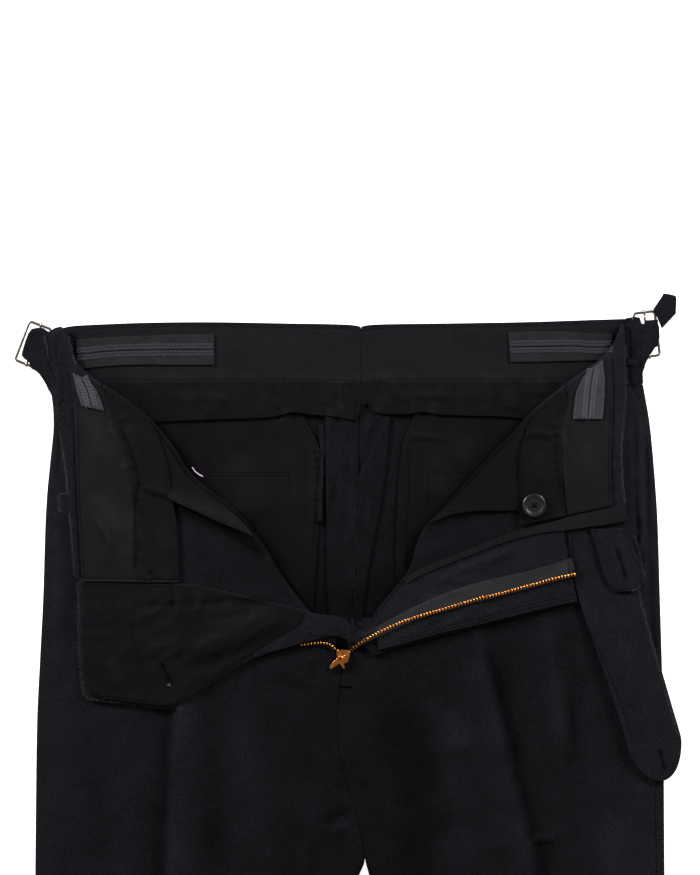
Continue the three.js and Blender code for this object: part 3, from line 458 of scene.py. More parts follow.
# the pressed crease that each front already has: rows of y, x and height
CREASES = {
    "right": ((-200, -127, 0), (-283, -130, 0.5), (-340, -135, 0.9), (-409, -136, 0.9),
              (-600, -132, 0.8), (-900, -129, 0.8), (-1160, -128, 0.7)),
    "left": ((-190, 80, 0), (-227, 85.5, 1.2), (-258, 94, 1.4), (-300, 104, 1.4),
             (-360, 117, 1.3), (-409, 123, 1.1), (-600, 129, 0.9), (-900, 132, 0.8),
             (-1160, 133, 0.7)),
}
CREASE_FALL = 3.5
TROUGH_OFF = 8
TROUGH_DEPTH = 0.8
WAIST_LEVEL = 5.9
LEG_LEVEL = 4.6
LEVEL_FALLS_FROM = -85
LEVEL_FALLS_OVER = 90
EDGE_LEVEL = 2.55
SLIDER_AT = (-11, -247)


FOLD_STEP = 7
FOLD_REACH = 2.4
# a fold fades out at its ends over a share of its length, or over so many of its widths and
# some more if that is shorter
FADE_SHARE, FADE_WIDTHS, FADE_MORE = 0.3, 2.5, 8
# a fold's height varies along it: by how much, the length of a wave, and its shift at each fold
UNEVEN = ((0.22, 19, 2.1), (0.12, 7, 1))


def fold_heights(x, y, folds):
    """How far a table of folds lifts each point."""
    total = np.zeros(len(x))
    for number, (left, right, height, points) in enumerate(folds):
        line = smooth_line(points, FOLD_STEP)
        reach = FOLD_REACH * max(left, right)
        low = line.min(axis=0) - reach
        high = line.max(axis=0) + reach
        near = np.nonzero((x > low[0]) & (x < high[0]) & (y > low[1]) & (y < high[1]))[0]
        if not len(near):
            continue
        spots = np.stack([x[near], y[near]], axis=1)
        nearest = np.full(len(near), FAR)
        side = np.zeros(len(near))
        place = np.zeros(len(near))
        lengths = lengths_along(line)
        for start, end, begun in zip(line, line[1:], lengths):
            run = end - start
            length = np.linalg.norm(run)
            offset = spots - start
            share = np.clip(offset @ run / length ** 2, 0, 1)
            away = np.linalg.norm(offset - share[:, None] * run, axis=1)
            closer = away < nearest
            nearest[closer] = away[closer]
            side[closer] = (run[0] * offset[:, 1] - run[1] * offset[:, 0])[closer]
            place[closer] = (begun + share * length)[closer]
        whole = lengths[-1]
        fade = min(FADE_SHARE * whole, FADE_WIDTHS * max(left, right) + FADE_MORE)
        taper = smooth_step(place / fade) * smooth_step((whole - place) / fade)
        uneven = sum((depth * np.sin(place / length + shift * number)
                      for depth, length, shift in UNEVEN), 1)
        width = np.where(side > 0, left, right)
        total[near] += height * hump(nearest, width) * taper * uneven
    return total


WIDE_SWELL = 0.42
CLOSE_SWELL = 0.16
TURN_SPREAD = 0.2
MOST_BEND = 0.18


def undulation(x, y):
    """The slow unevenness of cloth that was smoothed out by hand."""
    wide = np.sin(x / 31 + 1.7 * np.sin(y / 67)) * np.sin(y / 43 + 1.1 * np.sin(x / 58))
    close = np.sin(x / 11 - y / 23) * np.sin(y / 17 + x / 29)
    return WIDE_SWELL * wide + CLOSE_SWELL * close


def wrinkles(seed, across, down, count, heading, length, width, height):
    """Rows for small wrinkles strewn over x from across[0] to across[1] and y over down."""
    draw = random.Random(seed)
    table = []
    for _ in range(count):
        x = draw.uniform(*across)
        y = draw.uniform(*down)
        turn = heading + draw.gauss(0, TURN_SPREAD)
        reach = length * draw.uniform(0.6, 1.5) / 2
        bend = draw.uniform(-MOST_BEND, MOST_BEND) * reach
        way = (math.cos(turn), math.sin(turn))
        line = ((x - way[0] * reach, y - way[1] * reach), (x - way[1] * bend, y + way[0] * bend),
                (x + way[0] * reach, y + way[1] * reach))
        half = width * draw.uniform(0.7, 1.3)
        lift = height * draw.uniform(0.5, 1.2) * draw.choice((-1, 1, 1))
        table.append((half, half * draw.uniform(0.8, 1.4), lift, line))
    return tuple(table)


# which folds the wrinkles join, and what wrinkles() takes
for place, *row in (("front", 3, (-70, 80), (-460, -285), 26, -1.2, 46, 6, 0.9),
                    ("front", 5, (-225, 215), (-420, -300), 24, -1.5, 50, 7, 0.7),
                    ("flap", 7, (-206, -135), (-188, -56), 22, -1.2, 38, 2.2, 0.5),
                    ("flap", 8, (-200, -60), (-278, -205), 22, 0.4, 52, 2.6, 0.55),
                    ("flap", 9, (112, 190), (-146, -56), 20, -1.4, 36, 2.2, 0.5),
                    ("flap", 10, (40, 150), (-235, -165), 20, 0.35, 26, 3.6, 0.7),
                    ("back", 11, (-150, 120), (-205, -80), 30, -1.0, 34, 3.0, 0.7),
                    ("back", 12, (-180, 150), (-72, -48), 46, 1.5, 18, 2.4, 0.9),
                    ("back", 13, (-180, 160), (-38, -6), 24, 1.5, 20, 2.4, 0.5),
                    ("back", 14, (-26, 26), (-205, -80), 30, 1.55, 60, 2.4, 1.1)):
    FOLDS[place] += wrinkles(*row)


def puckers(seed, line, pitch, length, width, height):
    """Rows for the small ridges that a seam draws up on its left side."""
    draw = random.Random(seed)
    table = []
    for here, way in along(line, pitch):
        out = leftward(way)
        spot = here + way * draw.uniform(-0.4, 0.4) * pitch
        reach = length * draw.uniform(0.5, 1.4)
        lean = way * draw.uniform(-0.3, 0.3) * reach
        half = width * draw.uniform(0.7, 1.4)
        rows = (tuple(spot - out * 2), tuple(spot + out * reach / 2),
                tuple(spot + out * reach + lean))
        table.append((half, half, height * draw.uniform(0.4, 1.2), rows))
    return tuple(table)


WAIST_SEAM = ((-192, -45), (-100, -45), (0, -45.4), (80, -45), (160, -44.5))
RIGHT_SEAM = ((-178, -70), (-165, -110), (-163, -140), (-163, -192))
# seams that draw the cloth up: which folds the puckers join, and what puckers() takes
for place, *row in (
        ("back", 21, WAIST_SEAM, 5.5, 9, 1.5, 1.0),
        ("back", 22, WAIST_SEAM[::-1], 8, 16, 2.2, 1.0),
        ("back", 23, ((-36, -90), (-33, -110), (-34, -140), (-36, -170)), 7, 9, 1.8, 0.8),
        ("back", 24, ((30, -170), (32, -140), (34, -110), (40, -86)), 7, 9, 1.8, 0.8),
        # the right flap and the shield
        ("flap", 25, RIGHT_SEAM, 6, 9, 1.6, 0.9),
        ("flap", 26, RIGHT_SEAM[::-1], 8, 10, 1.8, 0.8),
        ("flap", 27, ((-55, -212), (-90, -207), (-130, -205), (-200, -206)), 7, 14, 2.2, 1.1),
        ("flap", 28, ((-200, -278), (-160, -282), (-133, -283)), 8, 9, 1.8, 0.7),
        # the left flap
        ("flap", 29, ((150, -146), (148, -110), (150, -74)), 6, 8, 1.6, 0.8),
        ("flap", 30, ((186, -60), (185, -100), (186, -134)), 8, 9, 1.6, 0.7)):
    FOLDS[place] += puckers(*row)


def crease_height(x, y, side, way):
    """The pressed crease's ridge, and the trough on its outer side."""
    rows = sorted(CREASES[side])
    outward = way * (x - read_rows(rows, y))
    shape = hump(outward, CREASE_FALL) - TROUGH_DEPTH * hump(outward - TROUGH_OFF, CREASE_FALL)
    return read_rows(rows, y, 2) * shape


def front_level(y):
    """How high the fronts' solids lie: less in the legs than at the waist."""
    fall = smooth_step((LEVEL_FALLS_FROM - y) / LEVEL_FALLS_OVER)
    return WAIST_LEVEL + (LEG_LEVEL - WAIST_LEVEL) * fall


# the side seams, as rows of y and x, and how high the fronts puff up between them
SIDE = {
    "right": ((-1160, -235), (-800, -239), (-409, -238), (-200, -232), (-75, -224), (0, -222)),
    "left": ((-1160, 241), (-800, 234), (-409, 226), (-200, 222.5), (-75, 215), (0, 206)),
}
PUFF = 1.6
LEAST_FRONT = -1.9
LEAST_FLAP = -1.5
LEAST_BACK = -0.2
# cloth is held down this near the slider and the side seams, and is free this much farther off
SLIDER_HOLD = 9
SIDE_HOLD = 3
FREE_OVER = 16


def off_slider(x, y):
    away = np.hypot(x - SLIDER_AT[0], y - SLIDER_AT[1])
    return smooth_step((away - SLIDER_HOLD) / FREE_OVER)


def clearance(x, y):
    """From 0 at the side seams and round the slider to 1 where the cloth is free to rise."""
    from_side = np.minimum(x - read_rows(SIDE["right"], y), read_rows(SIDE["left"], y) - x)
    return off_slider(x, y) * smooth_step((from_side - SIDE_HOLD) / FREE_OVER)


def no_lower(height, least):
    """Height, held softly above its least value."""
    return np.where(height < least / 2, least / 2 + least / 2 * np.tanh((2 * height / least) - 1),
                    height)


def front_rise(x, y):
    folds = fold_heights(x, y, FOLDS["front"]) + undulation(x, y)
    return no_lower(folds, LEAST_FRONT - PUFF) * off_slider(x, y)


# a front is turned over where it lies this much above its level
TURNED_FROM, TURNED_OVER = 0.6, 2


def on_front(x, y, z, side):
    """The rise of a front: its folds, which give way to its flap's round the turn."""
    way = {"right": -1, "left": 1}[side]
    level = front_level(y)
    above = z - level - crease_height(x, y, side, way)
    turned = smooth_step((above - TURNED_FROM) / TURNED_OVER)
    inside = smooth_step((z - EDGE_LEVEL) / (level - EDGE_LEVEL))
    base = front_rise(x, y) + PUFF * clearance(x, y)
    return (1 - turned) * inside * base + turned * on_flap(x, y)


def on_flap(x, y):
    folds = no_lower(fold_heights(x, y, FOLDS["flap"]) + undulation(x, y), LEAST_FLAP)
    return (folds + PUFF) * clearance(x, y)


# the lower edge of the right front pocket bag, which stands up, and the painted shadow below it
BAG_EDGE = ((-137, -131.7), (-117, -138), (-98.4, -145), (-82, -154), (-76, -160))
BAG_LIFT, BAG_LIFT_REACH = 2.6, 6
BAG_SHADE = ((-137, -136), (-119, -142), (-100, -149.5), (-84, -159), (-74, -168))
BAG_SHADE_DEPTH, BAG_SHADE_REACH = 5, 5


def distance_to(x, y, line):
    return nearest_on(np.stack([x, y], axis=1), line)[1]


def on_flap_bag(x, y):
    return on_flap(x, y) + BAG_LIFT * hump(distance_to(x, y, BAG_EDGE), BAG_LIFT_REACH)


# painted light and shade by x, darker in the middle and paler at the hips: the fronts' lower layer,
# then their flaps
PAINTED_TONE_BELOW = ((-240, 2), (-205, 1.2), (-146, 0), (-50, -2.7), (50, -2.7), (115, -1.6), (170, 0.3),
             (205, 3.4), (240, 3.8))
PAINTED_TONE_ABOVE = ((-240, 1), (-150, 0), (-110, -2), (105, -2), (150, 2.4), (240, 3.4))
# painted shade on the flannel of the inner layers, and painted light on the flannel of the others
PAINTED_SHADE_INSIDE = -2.2
PAINTED_LIGHT_FACING = 2.6
# a front's painted light and shade change to its flap's this far above its level, and over as much
# again
PAINTED_TONE_TURNS = 1.2
INNER_LAYERS = ("under", "back")


# Painted light and shade by place, and the painted shadow below the right front's pocket bag.
def light_and_shade_painted_by_place(x, y, z, layer):
    if not layer.endswith(" front"):
        return PAINTED_SHADE_INSIDE if layer in INNER_LAYERS else PAINTED_LIGHT_FACING
    share = smooth_step((z - front_level(y) - PAINTED_TONE_TURNS) / PAINTED_TONE_TURNS)
    # painted shadow below the pocket bag's edge
    shade = BAG_SHADE_DEPTH * hump(distance_to(x, y, BAG_SHADE), BAG_SHADE_REACH)
    return (1 - share) * read_rows(PAINTED_TONE_BELOW, x) + share * (read_rows(PAINTED_TONE_ABOVE, x) - shade)


# where the fronts turn over, from the waist down to the zip
TURN_RIGHT = ((-214.5, -6), (-211.5, -16), (-208.6, -28), (-203, -35), (-196.5, -40), (-188, -46),
              (-169, -58), (-153.5, -70), (-143.5, -82), (-133, -95), (-126.5, -108), (-112, -122),
              (-92, -136), (-79.5, -150), (-70, -163), (-61, -180), (-50.5, -195), (-28.5, -222))
TURN_LEFT = ((194, -2), (190, -12), (186, -20), (177.5, -28), (166, -36), (152.5, -46),
             (136.5, -58), (124, -70), (113.5, -82), (100.5, -95), (88.5, -108), (76, -122),
             (63.5, -136), (52, -147), (43, -162), (39.3, -180), (28.5, -195), (7.5, -222))


# painted shade beside the turned-out fronts: its strength, how fast it fades off them, and its most
GLOOM, GLOOM_REACH, MOST_GLOOM = 0.9, 17, 1.3
# the foot of the opening gets painted shade as well: from and over which y, and its middle, half
# width and soft edge in x
FOOT_FROM, FOOT_OVER = -165, 70
FOOT_MIDDLE, FOOT_HALF, FOOT_EDGE = -10, 60, 20


def gloom(x, y):
    """How much painted shade a place gets beside the turned-out fronts, from 0 to MOST_GLOOM."""
    away = np.minimum(distance_to(x, y, TURN_RIGHT), distance_to(x, y, TURN_LEFT))
    foot = (smooth_step((FOOT_FROM - y) / FOOT_OVER)
            * smooth_step((FOOT_HALF - np.abs(x - FOOT_MIDDLE)) / FOOT_EDGE))
    return np.clip(GLOOM * np.exp(-away / GLOOM_REACH) + GLOOM * foot, 0, MOST_GLOOM)


def nearest_on(points, line):
    """The nearest place on a line to each point, and how far off it is."""
    best = np.full(len(points), FAR)
    place = points.copy()
    for start, end in zip(np.array(line[:-1], float), np.array(line[1:], float)):
        run = end - start
        share = np.clip((points - start) @ run / (run @ run), 0, 1)
        spots = start + share[:, None] * run
        away = np.linalg.norm(points - spots, axis=1)
        closer = away < best
        best[closer] = away[closer]
        place[closer] = spots[closer]
    return place, best


# how wide the fronts leave the back bare: half the width at a y, and how much more each
# millimetre up, with a soft edge
BARE_HALF, BARE_AT, BARE_SLOPE, BARE_EDGE = 105, -250, 0.35, 22


def over_back(x, y):
    """The back's linings only rise: they lie close on the cloth under them."""
    half = BARE_SLOPE * (y - BARE_AT) + BARE_HALF
    between = smooth_step((half - np.abs(x)) / BARE_EDGE)
    return np.maximum(fold_heights(x, y, FOLDS["back"]), LEAST_BACK) * between


# ---- cloth from the frame's solids
SHARP = math.radians(52)
WELD = 2e-6
ROUND = 0.45 * MM
ROUND_ANGLE = math.radians(50)


def edge_is_sharp(edge):
    return len(edge.link_faces) != 2 or edge.calc_face_angle(0) > SHARP


def grid_mesh(node):
    """A node's wall of cloth with the diagonals of its grid taken out, as a bmesh."""
    bm = bmesh.new()
    bm.from_mesh(NODES[node].data)
    bmesh.ops.remove_doubles(bm, verts=bm.verts, dist=WELD)
    kind = {}
    seen = set()
    diagonals = []
    for seed in bm.faces:
        if seed in seen:
            continue
        for number, edge in enumerate(seed.edges):
            kind[edge, seed] = number
        seen.add(seed)
        queue = [seed]
        region = {0: [], 1: [], 2: []}
        rims = {0: 0, 1: 0, 2: 0}
        while queue:
            face = queue.pop()
            for edge in face.edges:
                number = kind[edge, face]
                region[number].append(edge)
                if edge_is_sharp(edge):
                    rims[number] += 1
                    continue
                other = next(f for f in edge.link_faces if f is not face)
                if other in seen:
                    continue
                seen.add(other)
                queue.append(other)
                kind[edge, other] = number
                # opposite sides of the parallelogram that two triangles make are alike
                p, q = edge.verts
                for mine in face.edges:
                    if mine is edge:
                        continue
                    corner = p if p in mine.verts else q
                    across = q if corner is p else p
                    theirs = next(e for e in other.edges if e is not edge and across in e.verts)
                    kind[theirs, other] = kind[mine, face]
        diagonal = min(rims, key=lambda number: (rims[number], -len(region[number])))
        diagonals += [e for e in region[diagonal] if not edge_is_sharp(e)]
    # each edge once, in the order found, so that every run numbers the points alike
    bmesh.ops.dissolve_edges(bm, edges=list(dict.fromkeys(diagonals)), use_verts=False)
    return bm


def finish_mesh(name, bm, material):
    mesh = bpy.data.meshes.new(name)
    bm.to_mesh(mesh)
    bm.free()
    mesh.materials.append(material)
    return smooth_piece(name, mesh)


def closed_mesh(name, bm, material):
    """A piece whose faces are all turned to point out of it."""
    bmesh.ops.recalc_face_normals(bm, faces=bm.faces)
    return finish_mesh(name, bm, material)


def smooth_piece(name, mesh):
    mesh.polygons.foreach_set("use_smooth", [True] * len(mesh.polygons))
    piece = bpy.data.objects.new(name, mesh)
    bpy.context.scene.collection.objects.link(piece)
    return piece


def apply_modifiers(piece):
    bpy.context.view_layer.update()
    graph = bpy.context.evaluated_depsgraph_get()
    mesh = bpy.data.meshes.new_from_object(piece.evaluated_get(graph))
    piece.modifiers.clear()
    old = piece.data
    piece.data = mesh
    bpy.data.meshes.remove(old)


def round_edges(piece):
    """Rounds the sharp edges of a wall of cloth."""
    edges = piece.modifiers.new("round", "BEVEL")
    edges.width = ROUND
    edges.segments = 2
    edges.limit_method = "ANGLE"
    edges.angle_limit = ROUND_ANGLE
    apply_modifiers(piece)


def in_garment(x, y):
    """The frame's x and y in the garment's millimetres."""
    return (x - WAIST.x) / MM, (y - WAIST.y) / MM


VISIBLE_FOOT = -420
LONGEST_EDGE = 7
# how strongly the painted shade beside the fronts darkens flannel, and lining
NAP_GLOOM = 5
LINING_GLOOM = 2.2


def refine(bm):
    """Halves the long edges in the part of a panel that is folded most."""
    low = at(0, VISIBLE_FOOT).y
    long_edges = [e for e in bm.edges
                  if e.calc_length() > LONGEST_EDGE * MM and all(v.co.y > low for v in e.verts)]
    bmesh.ops.subdivide_edges(bm, edges=long_edges, cuts=1, use_grid_fill=True)


def lift_points(piece, wall, layer, napped):
    """Moves a piece's points up by its layer's rise at the middle of its wall, and writes there the
    painted shade and light for its colour: paler on ridges and darker in troughs, paler and darker
    by place, and darker in the shade of the turned-out fronts."""
    mesh = piece.data
    points = np.empty(len(mesh.vertices) * 3)
    normals = np.empty(len(mesh.vertices) * 3)
    mesh.vertices.foreach_get("co", points)
    mesh.vertices.foreach_get("normal", normals)
    points = points.reshape(-1, 3)
    x, y = in_garment(points[:, 0], points[:, 1])
    z = points[:, 2] / MM - normals.reshape(-1, 3)[:, 2] * wall / 2
    lifted = RISE[layer](x, y, z)
    points[:, 2] += lifted * MM
    mesh.vertices.foreach_set("co", points.ravel())
    even = 0 if layer in INNER_LAYERS else PUFF * clearance(x, y)
    # painted shade and light: from the fold's height, by place, and beside the turned-out fronts
    tone = lifted - even + (light_and_shade_painted_by_place(x, y, z, layer) if napped else 0)
    if layer in INNER_LAYERS:
        tone -= gloom(x, y) * (NAP_GLOOM if napped else LINING_GLOOM)
    mesh.attributes.new("painted_shade_and_light", "FLOAT", "POINT").data.foreach_set("value", tone)


# A row for each piece of cloth: its layer, wall and levels of smoothing, the width and
# length of its cut in millimetres, the share of that rectangle which it fills, and what
# it lies on.
CLOTH = (
    ("front_right", "right front", 1.5, 2, 290, 1114, 0.76, "back_right"),
    ("front_left", "left front", 1.5, 2, 290, 1114, 0.77, "back_left"),
    ("waistband_front_right", "right front", 2, 3, 46, 190, 1, "waistband_back_right"),
    ("waistband_front_left", "left front", 2, 3, 46, 350, 0.99, "waistband_back_left"),
    ("back_right", "under", 1.5, 2, 245, 1114, 0.93, ()),
    ("back_left", "under", 1.5, 2, 245, 1114, 0.89, ()),
    ("waistband_back_right", None, 2, 2, 227, 46, 1, ()),
    ("waistband_back_left", None, 2, 2, 205, 48, 1, ()),
    ("inlay_right", "back", 1.5, 3, 26, 175, 0.87, "back_right"),
    ("inlay_left", "back", 1.5, 3, 27, 162, 0.65, "back_left"),
    ("pocket_bag_back_right", "back", 1, 3, 149, 159, 0.71, "back_right"),
    ("pocket_bag_back_left", "back", 1, 3, 113, 159, 0.69, "back_left"),
    ("lining_waist_back_right", "back", 1, 3, 215, 41, 1, "waistband_back_right"),
    ("lining_waist_back_left", "back", 1, 3, 191, 42, 1, "waistband_back_left"),
    ("curtain_back_right", "back", 1, 3, 191, 31, 0.85, "lining_waist_back_right"),
    ("curtain_back_left", "back", 1, 3, 152, 28, 0.86, "lining_waist_back_left"),
    ("grip_tape_back_right", "back", 1, 3, 102, 23.5, 0.98, "lining_waist_back_right"),
    ("grip_tape_back_left", "back", 1, 3, 77, 22.5, 0.98, "lining_waist_back_left"),
    ("pocket_bag_front_right", "flap bag", 1, 3, 41, 110, 0.37, "front_right"),
    ("lining_waist_front_right", "flap", 1, 3, 43, 158, 0.84, "waistband_front_right"),
    ("curtain_front_right", "flap", 1, 3, 33, 142, 0.84, "front_right"),
    ("grip_tape_front_right", "flap", 1, 3, 20, 29, 0.66, "lining_waist_front_right"),
    ("hanger_loop", "front", 1, 3, 11, 14, 0.98, "front_right"),
    ("fly_shield", "flap", 1.5, 3, 204, 88, 0.7, "front_right"),
    ("shield_lining", "flap", 1, 3, 161, 88, 0.74, "fly_shield"),
    ("pocket_bag_front_left", "flap", 1, 3, 61, 100, 0.36, "front_left"),
    ("lining_waist_front_left", "flap", 1, 3, 39, 117, 0.83, "waistband_front_left"),
    ("curtain_front_left", "flap", 1, 3, 34, 100, 0.78, "front_left"),
    ("grip_tape_front_left", "flap", 1, 3, 22, 45, 0.83, "lining_waist_front_left"),
    ("fly_facing", "flap", 1.5, 3, 54, 168, 0.86, "front_left"),
    ("bound_strip", "flap", 1, 3, 12, 172, 0.62, "fly_facing"),
    ("inner_tab", "flap", 2, 3, 30, 48, 0.96, "waistband_front_left"),
    ("zip_tape_left", "flap", 1, 3, 13.5, 180, 0.87, "fly_facing"),
    ("zip_tape_right", "front", 1, 3, 14, 31, 0.47, "front_right"),
    ("adjuster_strap_right", None, 1.5, 3, 18, 43, 0.78, "adjuster_buckle_right"),
    ("adjuster_strap_left", None, 1.5, 3, 15, 45, 0.81, "adjuster_buckle_left"),
    ("adjuster_strap_tip_left", None, 2, 3, 15.5, 25, 0.87, "adjuster_buckle_left"),
)
RISE = {
    "right front": lambda x, y, z: on_front(x, y, z, "right"),
    "left front": lambda x, y, z: on_front(x, y, z, "left"),
    "front": lambda x, y, z: front_rise(x, y) + PUFF * clearance(x, y),
    "flap": lambda x, y, z: on_flap(x, y),
    "back": lambda x, y, z: over_back(x, y),
    "flap bag": lambda x, y, z: on_flap_bag(x, y),
    "under": lambda x, y, z: np.zeros(len(x)),
}
cloths = []


# the stretch of each front's turn that its pocket bag wraps round
LINED_ROLLS = {"front_right": TURN_RIGHT[5:15], "front_left": TURN_LEFT[5:14]}
ROLL_WIDTH = 4.6
ROLL_FOOT = 5.4


def line_roll(piece, line):
    """Gives the pocket bag's cloth to the faces of a front that lie along its turn."""
    piece.data.materials.append(POCKETING)
    for face in piece.data.polygons:
        x, y = in_garment(face.center.x, face.center.y)
        if line[-1][1] < y < line[0][1] and face.center.z > ROLL_FOOT * MM:
            if nearest_on(np.array([[x, y]]), line)[1][0] < ROLL_WIDTH:
                face.material_index = 1


def make_cloth(node, layer, wall, levels, width, length, filled, under, material, slot):
    """The piece of cloth that stands for a node: its grid made smooth, folded and rounded."""
    bm = grid_mesh(node)
    if node.startswith("front_"):
        refine(bm)
    crease = bm.edges.layers.float.new("crease_edge")
    for edge in bm.edges:
        edge[crease] = 1.0 if edge_is_sharp(edge) else 0.0
    piece = finish_mesh(node + "_cloth", bm, material)
    subdivide = piece.modifiers.new("smooth", "SUBSURF")
    subdivide.levels = subdivide.render_levels = levels
    apply_modifiers(piece)
    if layer:
        lift_points(piece, wall, layer, material is FLANNEL)
    round_edges(piece)
    if node in LINED_ROLLS:
        line_roll(piece, LINED_ROLLS[node])
    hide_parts(node)
    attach(piece, "garment")
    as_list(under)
    cloths.append(piece)


# ---- small things placed on the cloth
ABOVE_ALL = 60


def top_of_cloth():
    """A function that gives the height of the uppermost cloth at x, y, in millimetres."""
    graph = bpy.context.evaluated_depsgraph_get()
    layers = []
    for piece in cloths:
        corners = np.array([list(corner) for corner in piece.bound_box])
        layers.append((corners.min(axis=0), corners.max(axis=0), BVHTree.FromObject(piece, graph)))

    def top(x, y):
        start = at(x, y, ABOVE_ALL)
        best = 0.0
        for low, high, tree in layers:
            if low[0] <= start.x <= high[0] and low[1] <= start.y <= high[1]:
                hit = tree.ray_cast(start, -Z_UP)[0]
                if hit and hit.z / MM > best:
                    best = hit.z / MM
        return best
    return top


def capsule(sides=6, rings=((-0.5, 0.35), (-0.38, 0.85), (0, 1), (0.38, 0.85), (0.5, 0.35))):
    """A closed stitch along x, one long and one thick, as points and faces."""
    angles = [2 * math.pi * i / sides for i in range(sides)]
    points = [(x, 0.5 * r * math.cos(a), 0.5 * r * math.sin(a)) for x, r in rings for a in angles]
    faces = [(k * sides + i, k * sides + (i + 1) % sides, (k + 1) * sides + (i + 1) % sides,
              (k + 1) * sides + i)
             for k in range(len(rings) - 1) for i in range(sides)]
    faces.append(tuple(range(sides))[::-1])
    faces.append(tuple(range((len(rings) - 1) * sides, len(rings) * sides)))
    return points, faces


def template(points, faces):
    """A thing to copy: its points and faces, each face turned to point out of it."""
    bm = bmesh.new()
    made = [bm.verts.new(p) for p in points]
    for face in faces:
        bm.faces.new([made[i] for i in face])
    bmesh.ops.recalc_face_normals(bm, faces=bm.faces)
    bm.verts.index_update()
    turned = [tuple(v.index for v in f.verts) for f in bm.faces]
    bm.free()
    return np.array(points), turned


STITCH = template(*capsule())


def joined_copies(name, thing, places, material, slot, body="garment"):
    """One mesh of a template's copies. A place is a 4 by 4 matrix."""
    points, faces = thing
    count = len(points)
    corners = []
    loops = []
    for number, matrix in enumerate(places):
        matrix = np.array(matrix)
        corners.append(points @ matrix[:3, :3].T + matrix[:3, 3])
        loops += [tuple(i + number * count for i in face) for face in faces]
    mesh = bpy.data.meshes.new(name)
    mesh.from_pydata(np.concatenate(corners).tolist(), [], loops)
    mesh.materials.append(material)
    piece = smooth_piece(name, mesh)
    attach(piece, body)


# a thing lies flat where the cloth under it steps up or down by more than this
STEEP = 1.2
TACK_THICK, TACK_SINK = 0.5, 0.1


def lying(top, x, y, way, length, width, height, sink=0.0):
    """The place of a thing that lies on the cloth along a way, with its real sizes."""
    ahead = (x + way[0] * length / 2, y + way[1] * length / 2)
    behind = (x - way[0] * length / 2, y - way[1] * length / 2)
    low, high, middle = top(*behind), top(*ahead), top(x, y)
    end = at(*ahead, high)
    start = at(*behind, low)
    along_it = (end - start).normalized() if abs(high - low) < STEEP else Vector((way[0], way[1], 0))
    side = Z_UP.cross(along_it).normalized()
    up = along_it.cross(side)
    centre = at(x, y, middle + height / 2 - sink)
    return Matrix((
        (*(along_it * length * MM), 0), (*(side * width * MM), 0), (*(up * height * MM), 0),
        (*centre, 1))).transposed()


def stitch_places(top, lines, pitch=2.6, length=2.0, thick=0.42, sink=0.12):
    return [lying(top, here[0], here[1], way, length, thick, thick, sink)
            for line in lines for here, way in along(line, pitch)]


def tack_places(top, line, pitch, length):
    """Close stitches across a line."""
    return [lying(top, *here, leftward(way), length, TACK_THICK, TACK_THICK, TACK_SINK)
            for here, way in along(line, pitch)]


def beside(line, offset):
    """A line moved to its left by an offset, in millimetres."""
    line = smooth_line(line, 6)
    run = np.gradient(line, axis=0)
    run /= np.linalg.norm(run, axis=1)[:, None]
    return line + offset * np.stack([-run[:, 1], run[:, 0]], axis=1)


FLANNEL_STITCHES = (
    # the bands' facings, both flaps
    ((-209.6, -52), (-208.9, -98), (-207.4, -140), (-204.6, -188)),
    ((188.6, -46), (188.2, -75), (187.4, -98), (188, -118), (189, -134)),
    # the fly's edge on the left front, twice, and the right band's lower edge
    ((163, -203), (155, -205), (145, -207), (120, -212.6), (105, -216.4), (90, -221),
     (70, -225.4), (50, -230.6), (30, -236)),
    ((160, -201), (145, -204.2), (120, -210), (90, -218.3), (70, -222.8), (50, -228), (30, -233.4)),
    # the long tab's edges
    ((160, -213), (176, -238), (186, -262), (196, -288), (201, -304)),
    ((207.5, -200), (214, -226), (222, -254), (230, -283), (235.5, -304)),
    # side seam of the left leg
    ((219.5, -342), (220.5, -420), (223, -520), (226, -640), (229, -800), (233, -1000), (236, -1150)),
    # the inner tab
    ((173.5, -157), (176.5, -171), (181, -187), (187, -195.5), (193, -197.6), (203, -196)),
    ((194, -154.5), (198.6, -161), (202, -171), (207, -180), (208.6, -188), (203, -196)),
)
LINING_STITCHES = (
    # the right flap
    ((-206.4, -60), (-205.8, -98), (-204.6, -140), (-201.6, -188)),
    ((-204, -193.9), (-185, -193.8), (-160, -194.6), (-134, -195)),
    ((-202, -189.2), (-185, -189.4), (-166, -189.6)),
    # the shield's lower edge
    ((-197.5, -271), (-193, -275), (-178, -276.8), (-160, -279), (-143, -280.6), (-133, -279),
     (-120, -270.5), (-106, -260.6), (-92, -250.6), (-78, -240.6), (-64, -232.2), (-52, -225.2)),
    # the left flap
    ((185.4, -50), (185, -75), (184.2, -98), (184.6, -118), (185.4, -132)),
    ((120.6, -100), (120.2, -118), (120.4, -144)),
    ((150.6, -92), (151.2, -110), (152.4, -128), (153.6, -142)),
    ((154.5, -157), (154.8, -175), (155.5, -194)),
    ((157.6, -157), (158, -166), (158.4, -172)),
    # waist of the back: along the curtain's head
    ((-190, -42.5), (-140, -42.5), (-80, -42.5), (-20, -42.6), (0.5, -43)),
    ((6.5, -43), (60, -42.3), (110, -42), (156, -41.4)),
    # the back pockets: their bags and jets
    ((-111, -111), (-90, -111), (-70, -111.2), (-50, -111.4)),
    ((-111, -113.4), (-90, -113.4), (-70, -113.6), (-52, -113.8)),
    ((-51, -113), (-50.6, -119), (-51, -126)),
    ((36.6, -88), (50, -88), (66, -88)),
    ((36.6, -90), (37.6, -120), (36, -150), (36, -190)),
    ((52, -111), (62, -111), (84, -111)),
    ((52, -139.5), (60, -139.6), (70, -139.8)),
    ((51.4, -112), (51.2, -125), (51.4, -139)),
    ((-33.6, -92), (-30.8, -105), (-31.4, -130), (-33.2, -163)),
)
